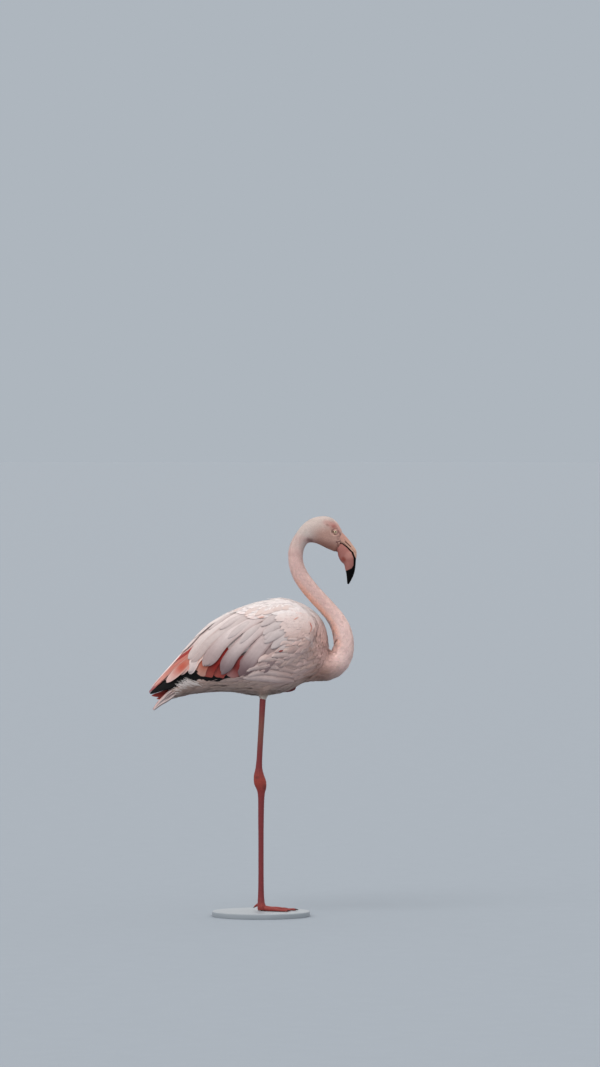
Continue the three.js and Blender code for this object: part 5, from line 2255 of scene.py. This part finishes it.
class Ground:
    """A form that feathers are set on."""

    def __init__(self, thing: Object) -> None:
        """Read the form.

        Args:
            thing: The object. It may be removed or reshaped later.
        """
        self.points = points_of(thing)
        self.faces = triangles_of(thing)
        self.tree = BVHTree.FromPolygons(self.points.tolist(), self.faces.tolist())
        self.normals = unit(normals_of(thing)[self.faces].mean(1))

    def nearest(self, spots: Array) -> tuple[Array, Array]:
        """Move points to the form's surface and return them with its normals there."""
        found = [self.tree.find_nearest(spot_) for spot_ in spots.tolist()]
        return np.array([hit[0] for hit in found]), self.normals[[hit[2] for hit in found]]

    def outer(self, x: float, z: float, side: Side) -> tuple[Array, Array]:
        """Find the outermost point of one side where it is seen from that side.

        Args:
            x: The place ahead.
            z: The height.
            side: The side.

        Returns:
            The point and its normal, or a point near the middle where nothing is there.
        """
        spot_, up, _, _ = self.tree.ray_cast(Vector((x, side.value * 120, z)), Vector((0, -side.value, 0)))
        if spot_ is None:
            return np.array([x, side.value * 12, z]), np.array([0, side.value, 0])
        return np.array(spot_), np.array(up)

    def scatter(self, density: Array, rng: Chance) -> tuple[Array, Array]:
        """Scatter points over the form.

        Args:
            density: How many points there are to a square mm of each face.
            rng: The source of chance.

        Returns:
            The points, and their normals.
        """
        a, b, c = (self.points[self.faces[:, k]] for k in range(3))
        area = 0.5 * np.linalg.norm(np.cross(b - a, c - a), axis=1)
        some = np.repeat(np.arange(len(area)), rng.poisson(area * density))
        s, t = rng.random((2, len(some), 1))
        s, t = np.where(s + t > 1, 1 - s, s), np.where(s + t > 1, 1 - t, t)
        return a[some] + s * (b - a)[some] + t * (c - a)[some], self.normals[some]


@dataclass
class Coat:
    """The small feathers: where each tract is, how its feathers lie, and the meshes they are joined in."""

    arch: Line = (
        (-58.5, 672), (-33.8, 661.5), (-9.4, 658.4), (9, 667.1), (28.6, 672.3), (54.4, 677.2), (75.8, 670),
        (97.2, 660.6), (113.6, 639.5), (123.8, 618.8), (134, 600),
    )
    flank: Line = (
        (-60, 524), (-51.8, 526.5), (-16.4, 556.4), (2.2, 573.1), (24.8, 582.8), (40.5, 596.2),
        (51.8, 609.8), (83.2, 618.8), (110.2, 627.8), (128.2, 643.5), (137.2, 657),
    )
    under: Line = (
        (-52, 524), (-70, 521), (-92, 518), (-130, 515), (-182, 506), (-205, 494),
    )
    lies: tuple[tuple[float, float, float, float], ...] = (
        (100, 640, -0.55, -0.83), (110, 655, -0.7, -0.7), (80, 655, -0.75, -0.66), (50, 650, -0.75, -0.66),
        (60, 625, -0.6, -0.8), (80, 600, -0.95, -0.3), (100, 600, -0.85, -0.5), (60, 570, -0.93, -0.36),
        (20, 550, -0.93, -0.36), (-20, 530, -0.97, -0.25), (120, 580, -0.8, -0.6), (132, 640, -0.35, -0.94),
        (142, 600, -0.5, -0.86), (140, 570, -0.7, -0.7), (125, 540, -0.95, -0.3), (0, 495, -1, 0),
        (60, 700, -1, -0.1), (90, 685, -0.95, -0.3), (0, 690, -1, -0.15),
    )

    def tracts(self, points: Array, normals: Array, place: Array) -> Array:
        """Tell which tract points of the outer surface are in.

        Args:
            points: One row of x, y, z for each point.
            normals: Their normals.
            place: Their places on the bird's line.

        Returns:
            The tracts' numbers.
        """
        x, y, z = points.T
        arch = np.interp(x, *np.array(self.arch).T)
        flank = np.interp(x, *np.array(self.flank).T)
        under = np.interp(-x, *(np.array(self.under) * (-1, 1)).T)
        front = x + 0.12 * (z - 600) > 112
        rules = (
            (place < 4.6, Tract.OPEN),
            (place < 15.4, Tract.NECK),
            (place < 17.0, Tract.NECK_BASE),
            ((z < 499) & (np.abs(x - 8) < 24) & (y < -10), Tract.THIGH),
            ((x > -52) & (z < 515) & ~front, Tract.BELLY),
            ((x <= -52) & (x > -204) & (z < under), Tract.BELLY),
            ((z > arch) & (x > -58), Tract.BACK),
            ((normals[:, 2] > 0.86) & (x > -150) & (z > 600), Tract.RIDGE),
            (front, Tract.BREAST),
            ((z < flank) & (x > -60), Tract.FLANK),
            (x > 31 + (651 - z) * 0.6, Tract.SHOULDER),
        )
        return np.select([rule[0] for rule in rules], [rule[1].value for rule in rules], Tract.OPEN.value)

    def lie(self, points: Array, normals: Array) -> Array:
        """Return the way that feathers point: back along the bird, and down over the shoulder and flank.

        Args:
            points: One row of x, y, z for each point.
            normals: The surface's normals there.

        Returns:
            One unit row along the surface for each point.
        """
        place, flow, _ = SPINE.read(points)
        table = np.array(self.lies)
        gap = (points[:, None, 0] - table[:, 0]) ** 2 + (points[:, None, 2] - table[:, 1]) ** 2
        weight = np.exp(-gap / 28.0**2) * smooth(place, 15.6, 17.6)[:, None]
        mixed = flow * 0.35 + weight @ table[:, 2:]
        way = np.stack([mixed[:, 0], np.zeros(len(points)), mixed[:, 1]], axis=1)
        way = unit(way)
        flat = way - normals * (way * normals).sum(1, keepdims=True)
        weak = np.linalg.norm(flat, axis=1, keepdims=True) < 0.25
        down = np.array([0.0, 0.0, -1.0]) + normals * normals[:, 2:]
        return unit(np.where(weak, flat + 0.5 * down, flat))

    def thin(self, points: Array, spacing: Array, rng: Chance) -> Array:
        """Pick points that are no closer to each other than the spacing.

        Args:
            points: The candidates.
            spacing: The least distance at each.
            rng: The source of chance.

        Returns:
            The numbers of the points that stay.
        """
        tree = KDTree(len(points))
        for number, point in enumerate(points.tolist()):
            tree.insert(point, number)
        tree.balance()
        alive = np.ones(len(points), dtype=bool)
        kept = []
        for number in rng.permutation(len(points)):
            if not alive[number]:
                continue
            kept.append(number)
            for _, other, _ in tree.find_range(points[number].tolist(), float(spacing[number])):
                alive[other] = False
        return np.array(sorted(kept))

    def size(self, tract_of: Array, place: Array) -> Array:
        """Return how large feathers are next to their tract's cut: they shrink towards the head."""
        return np.where(tract_of == Tract.NECK.value, 1 - 0.42 * smooth(place, 7.5, 4.6), 1.0)

    def strew(
        self, ground: Ground, cuts: dict[Tract, Cut], tract_of: Array, rng: Chance
    ) -> tuple[Array, Array, Array]:
        """Choose where the tips of all the feathers of a form are.

        Args:
            ground: The form.
            cuts: The cuts of the tracts to fill.
            tract_of: The tract of each of the form's faces.
            rng: The source of chance.

        Returns:
            The tips, the normals there, and their tracts.
        """
        spacing = np.full(len(Tract), np.inf)
        for tract, cut in cuts.items():
            spacing[tract.value] = cut.spacing
        place, _, _ = SPINE.read(ground.points[ground.faces].mean(1))
        near = spacing[tract_of] * self.size(tract_of, place)
        points, normals = ground.scatter(4.5 / near**2, rng)
        place, _, _ = SPINE.read(points)
        numbers = np.full(len(points), Tract.FACE.value)
        if Tract.FACE not in cuts:
            numbers = self.tracts(points, normals, place)
        near = spacing[numbers] * self.size(numbers, place)
        inside = np.flatnonzero(np.isfinite(near))
        kept = inside[self.thin(points[inside], near[inside], rng)]
        return points[kept], normals[kept], numbers[kept]

    def grow(
        self, name: str, tract: Tract, cut: Cut, ground: Ground, tips: Array, normals: Array,
        rng: Chance,
    ) -> list[Object]:
        """Grow one tract's feathers back from their tips.

        Args:
            name: The objects' name.
            tract: The tract.
            cut: How its feathers are cut.
            ground: The form they lie on.
            tips: Where the feathers end.
            normals: The normals there.
            rng: The source of chance.

        Returns:
            The tract's meshes, each with fewer than 200,000 triangles.
        """
        vanes = Vanes(cut.stations, cut.columns)
        share = vanes.shares()
        number = len(tips)
        place, _, _ = SPINE.read(tips)
        size = self.size(np.full(number, tract.value), place)
        length = cut.length * size * (1 + rng.uniform(-0.14, 0.14, number))
        turn = np.radians(rng.normal(0, cut.scatter, number))[:, None]
        places = np.empty((number, cut.stations, 3))
        ups = np.empty_like(places)
        places[:, -1], ups[:, -1] = tips, normals
        way = self.lie(tips, normals)
        for k in range(cut.stations - 2, -1, -1):
            if cut.length > 20:
                way = self.lie(places[:, k + 1], ups[:, k + 1])
            here = unit(way - ups[:, k + 1] * (way * ups[:, k + 1]).sum(1, keepdims=True))
            here = here * np.cos(turn) + np.cross(ups[:, k + 1], here) * np.sin(turn)
            step = (length * (share[k + 1] - share[k]))[:, None]
            places[:, k], ups[:, k] = ground.nearest(places[:, k + 1] - here * step)
        rise = rng.normal(0, 0.25 * cut.lift, number)[:, None] * share**2
        curl = cut.lift * share[None, :] ** 3 * rng.uniform(0.4, 1.3, (number, 1))
        height = -cut.depth * size[:, None] * (1 - share[None, :]) ** 0.85 + rise + curl
        centres = places + ups * height[..., None]
        half = cut.half * size[:, None] * rng.uniform(0.86, 1.14, (number, 1))
        half = half * vanes.outline(cut.point)[None, :]
        base = MARKINGS.coat(places[:, 0])
        end = MARKINGS.coat(places[:, -1])
        tone = 1 + rng.normal(0, cut.spread, (number, 1))
        tone = tone * (1 + rng.normal(0, cut.spread * 0.25, (number, 3)))
        tint = (base[:, None] + (end - base)[:, None] * share[None, :, None]) * tone[:, None]
        # Painted shade: each feather darker towards its root, where it lies under the others.
        tint = tint * (1 - cut.shade * (1 - share[None, :, None]) ** 1.2)
        tint = self.mark(tract, tint, places, share, rng)
        tints = np.repeat(np.clip(tint, 0, 1)[:, :, None], cut.columns, axis=2)
        ragged = vanes.rough(number, rng) * cut.fray
        ragged = ragged * (0.25 + 0.75 * np.abs(np.linspace(-1, 1, cut.columns)))
        pieces = []
        triangles = 2 * len(vanes.faces)
        lots = max(1, math.ceil(number * triangles / 180000))
        for lot, chosen in enumerate(np.array_split(np.arange(number), lots)):
            label = name if lots == 1 else f"{name}_{lot + 1}"
            pieces.append(vanes.build(
                label, centres[chosen], ups[chosen], half[chosen], tints[chosen], chart(places[chosen, 0]),
                min(0.45, 0.1 + 0.04 * cut.half), cut.camber, ragged[chosen],
            ))
        return pieces

    def mark(
        self, tract: Tract, tint: Array, places: Array, share: Array, rng: Chance
    ) -> Array:
        """Give the feathers of a tract their own flecks and edges.

        Args:
            tract: The tract.
            tint: Colours, feathers by stations by 3.
            places: Where the stations are, feathers by stations by 3.
            share: How far along the feather each station is.
            rng: The source of chance.

        Returns:
            The new colours.
        """
        tips = places[:, -1]
        if tract is Tract.BREAST:
            some = (rng.random(len(tint)) < 0.42) * rng.uniform(0.3, 0.8, len(tint))
            some = some * smooth(tips[:, 2], 655, 625) * smooth(tips[:, 2], 520, 545)
            weight = some[:, None] * smooth(share, 0.55, 0.9)[None, :]
            tint = blend(tint, MARKINGS.breast_fleck, weight)
        elif tract in (Tract.NECK, Tract.NECK_BASE):
            some = (rng.random(len(tint)) < 0.08) * rng.uniform(0.15, 0.4, len(tint))
            weight = some[:, None] * smooth(share, 0.5, 0.9)[None, :]
            tint = blend(tint, MARKINGS.neck_fleck, weight)
        elif tract is Tract.BACK:
            # A peach blush at the tips near the arch: partly the feathers' own peach, partly painted shade
            # under the overhanging feathers.
            near = np.abs(tips[:, 2] - np.interp(tips[:, 0], *np.array(self.arch).T))
            weight = smooth(near, 11, 3)[:, None] * smooth(share, 0.45, 0.9)[None, :]
            peach = rng.uniform(0.0, 0.5, len(tint))
            tint = blend(tint, MARKINGS.peach, weight * peach[:, None])
        return tint


@dataclass
class Details:
    """Single feathers and barbs that break up the even coat."""

    barbs: int = 130
    barb_root: str = "a78f85"
    barb_tip: str = "e6dcd9"
    plumes: int = 9

    def strands(self, ground: Ground, side: Side, rng: Chance) -> Object:
        """Build the loose white barbs of the undertail that spread over the black of the wing's tip.

        Args:
            ground: The coat's outer surface.
            side: The bird's side.
            rng: The source of chance.

        Returns:
            The barbs in one mesh.
        """
        vanes = Vanes(8, 3)
        share = vanes.shares()
        number = self.barbs
        run = rng.random(number)
        low = np.interp(run, [0, 0.5, 1], [489, 511, 507])
        start = np.stack([-180 + 50 * run, low], axis=1) + rng.normal(0, 2.6, (number, 2))
        heading = np.radians(rng.normal(160, 6, number) - 8 * run)
        length = rng.uniform(12, 30, number)
        way = np.stack([np.cos(heading), np.sin(heading)], axis=1)
        path = start[:, None] + (length[:, None] * share)[..., None] * way[:, None]
        path[..., 1] -= 0.5 * (length[:, None] / 40) * (share**2) * rng.uniform(1, 7, (number, 1))
        outer = np.empty((number, 8, 3))
        ups = np.empty_like(outer)
        for i in range(number):
            for k in range(8):
                outer[i, k], ups[i, k] = ground.outer(*path[i, k], side)
            outer[i, :, 1] = np.polyval(np.polyfit(share, outer[i, :, 1], 2), share)
        ups = np.repeat(unit(ups.mean(1, keepdims=True) + np.array([0, side.value, 0])), 8, axis=1)
        centres = outer + ups * (2.4 * share - 1.0)[None, :, None]
        half = rng.uniform(0.5, 1.1, (number, 1)) * (1 - 0.85 * share)[None, :]
        tint = layered(self.barb_root, share, [(self.barb_tip, smooth(share, 0.1, 0.8))])
        tints = np.tile(tint[None, :, None], (number, 1, 3, 1)) * rng.uniform(0.88, 1.0, (number, 1, 1, 1))
        return vanes.build(
            f"undertail_barbs_{side.name.lower()}", centres, ups, half, tints, chart(outer[:, 0]), 0.25, 0.0
        )

    def accents(self, ground: Ground, side: Side) -> Object:
        """Build the few small red feathers that show among the pale ones of the shoulder and flank.

        Args:
            ground: The coat's outer surface.
            side: The bird's side.

        Returns:
            The feathers in one mesh.
        """
        # The two on the arch, at x 8 and 84, take the orange of the shadows under the feathers' tips there:
        # partly painted shade.
        rows = (  # x, z, the heading in degrees, the length, half the width, the colour
            (110, 651, -70, 14, 1.5, "bd766b"), (114, 640, -108, 11, 1.4, "c58a7e"),
            (50, 589, 195, 11, 2.4, "94504d"), (84, 663, -150, 12, 1.3, "d3a093"),
            (8, 664, -168, 12, 1.2, "dca392"),
        )
        vanes = Vanes(8, 3)
        share = vanes.shares()
        centres, ups, tints = [], [], []
        for x, z, heading, length, _, colour in rows:
            path = np.array([x, z]) + ahead_of(heading)[:2] * (length * share)[:, None]
            line, up = (np.array(each) for each in zip(*(ground.outer(*place, side) for place in path)))
            centres.append(line + up * (0.55 + 0.25 * share)[:, None])
            ups.append(up)
            tints.append(np.tile(rgb(colour), (8, 3, 1)))
        half = np.array([row[4] for row in rows])[:, None] * vanes.outline(0.4)[None, :]
        centres = np.array(centres)
        return vanes.build(
            f"red_accents_{side.name.lower()}", centres, np.array(ups), half, np.array(tints),
            chart(centres[:, 0]), 0.25, 0.3,
        )

    def tuft(self, ground: Ground, rng: Chance) -> Object:
        """Build the small tuft that stands up from the back.

        Args:
            ground: The coat's outer surface.
            rng: The source of chance.

        Returns:
            The tuft in one mesh.
        """
        vanes = Vanes(8, 3)
        share = vanes.shares()
        number = self.plumes
        x, y = rng.uniform(36, 52, number), rng.uniform(-16, 12, number)
        root, up = ground.nearest(np.stack([x, y, np.full(number, 690.0)], axis=1))
        rise = rng.uniform(0.5, 2.6, number)[:, None] * share[None, :] ** 1.4
        length = rng.uniform(22, 32, number)
        ahead = np.array([-0.98, 0.0, -0.02])
        centres = root[:, None] + ahead * (length[:, None] * share)[..., None]
        centres[..., 2] += rise - 1.0 - 2.0 * share**2
        centres[..., 1] += rng.normal(0, 1.2, (number, 1)) * share
        half = rng.uniform(2.6, 4.0, (number, 1)) * vanes.outline(0.7)[None, :]
        tints = np.tile(rgb(MARKINGS.back), (number, 8, 3, 1))
        return vanes.build(
            "back_tuft", centres, np.repeat(up[:, None], 8, axis=1), half, tints, chart(root), 0.3, 0.5
        )


# ---------------------------------------------------------------- the whole bird
def note(piece: Object, slot: str, nodes: tuple[str, ...] = (), finish: Material | None = None) -> None:
    """Make a finished piece part of the model, and report it.

    Args:
        piece: The piece.
        slot: The name of a material slot. It is not used.
        nodes: The nodes it stands for.
        finish: Its material, where it hasn't one yet.
    """
    if finish:
        dress(piece, finish)
    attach(piece, "root")
    if nodes:
        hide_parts(*nodes)
    LOG.info("%s: %d triangles", piece.name, len(triangles_of(piece)))


def build_coat(
    coat: Coat, body: Ground, face: Ground, head: Head, feather: Material, rng: Chance
) -> None:
    """Grow the whole coat.

    Args:
        coat: The coat.
        body: The outer surface of body and neck.
        face: The outer form of the head.
        head: The head.
        feather: The finish.
        rng: The source of chance.
    """
    middle = body.points[body.faces].mean(1)
    place, _, _ = SPINE.read(middle)
    tracts = coat.tracts(middle, body.normals, place)
    slots = {Tract.NECK: "neck_plumage", Tract.NECK_BASE: "neck_plumage"}
    for word, cuts in (("coat", CUTS), ("loose", LOOSE)):
        cuts = {tract: cut for tract, cut in cuts.items() if tract is not Tract.FACE}
        tips, normals, numbers = coat.strew(body, cuts, tracts, rng)
        for tract, cut in cuts.items():
            own = numbers == tract.value
            name = f"{word}_{tract.name.lower()}"
            for piece in coat.grow(name, tract, cut, body, tips[own], normals[own], rng):
                note(piece, slots.get(tract, "plumage"), finish=feather)
    middle = face.points[face.faces].mean(1)
    place, _, _ = SPINE.read(middle)
    away = np.hypot(middle[:, 0] - head.eye[0], middle[:, 2] - head.eye[2])
    bare = middle[:, 0] + 0.42 * (middle[:, 2] - 850) > 176
    covered = (place < 5.3) & ((away > 10.6) | (np.abs(middle[:, 1]) < 6)) & ~bare & (middle[:, 2] > 800)
    tracts = np.where(covered, Tract.FACE.value, Tract.OPEN.value)
    cuts = {Tract.FACE: CUTS[Tract.FACE]}
    tips, normals, _ = coat.strew(face, cuts, tracts, rng)
    for piece in coat.grow("coat_face", Tract.FACE, cuts[Tract.FACE], face, tips, normals, rng):
        note(piece, "head_plumage", finish=feather)


def main() -> None:
    """Build the bird on its base, with its light, floor and camera."""
    logging.basicConfig(level=logging.INFO, format="%(name)s: %(message)s")
    studio = Studio()
    studio.place_camera()
    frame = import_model()
    deselect()
    studio.light()
    studio.lay_floor()
    rng = np.random.default_rng(SEED)

    note(Stand().build(), "stand", ("stand_base",))

    flesh = Flesh()
    surface = flesh.surface(frame)
    ground = Ground(surface)
    head = Head()
    form = head.form()
    face = Ground(form)
    skin = join([flesh.skin(frame), head.skin(form)], "bird_skin")
    points = points_of(skin)
    paint(skin, tint=MARKINGS.coat(points))
    bake_map(skin, chart(points))
    smooth_shade(skin)
    downy = SkinFinish("downy_skin", roughness=0.75, scale=1.2, relief=0.08, crevice=0.12, sheen=0.2)
    note(skin, "plumage", ("trunk", "thigh_right", *NECK, "head"), downy.make())

    bill = Bill()
    note(bill.build_upper(), "bill_pale", ("bill_upper",))
    note(bill.build_lower(), "bill_pink", ("bill_lower",))
    note(head.eyeball(1), "eye", ("eye_left",))
    note(head.eyeball(-1), "eye", ("eye_right",))

    legs = Legs()
    note(legs.build_standing(), "leg_skin", ("shin_right", "heel_right", "shank_right", "foot_right"))
    note(legs.build_folded(), "leg_skin", ("shin_left", "heel_left", "shank_left", "foot_left"))
    claws = legs.build_claws()
    for name, claw in claws.items():
        note(claw, "claw", (f"claw_right_{name}",) if name != "hind" else ())

    feather = PlumageFinish("soft_feather").make()
    black = PlumageFinish("black_flight_feather", roughness=0.5, sheen=0.05, barb=1.2, mottle=0.05).make()
    wing = Wing()
    for side in Side:
        word = side.name.lower()
        note(wing.down(ground.tree, side), "wing", (), feather)
        flights = lay(f"flights_{word}", wing.flight(side), BED, ground.tree, side, rng)
        note(flights, "flight_feather", (f"flight_feathers_{word}",), black)
        name = f"flank_plumes_{word}"
        plumes = lay(name, wing.plumes(), BED, ground.tree, side, rng, stations=26, columns=11)
        note(plumes, "plumage", (), feather)
        long_feathers = wing.red() + wing.pale() + wing.coverts() + wing.scapulars()
        name = f"wing_{word}_feathers"
        quills = lay(name, long_feathers, BED, ground.tree, side, rng, stations=30, columns=13)
        note(quills, "wing", (f"wing_{word}",), feather)
        note(Tail().build(side, rng), "tail_feather", ("tail",), feather)
        note(Details().strands(ground, side, rng), "plumage", (), feather)
        note(Details().accents(ground, side), "plumage", (), feather)
    note(Details().tuft(ground, rng), "plumage", (), feather)
    build_coat(Coat(), ground, face, head, feather, rng)

    bpy.data.objects.remove(surface)
    deselect()
    total = sum(len(p.data.loop_triangles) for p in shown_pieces() if p.type == "MESH")
    LOG.info("whole model: %d triangles", total)


if __name__ == "__main__":
    main()
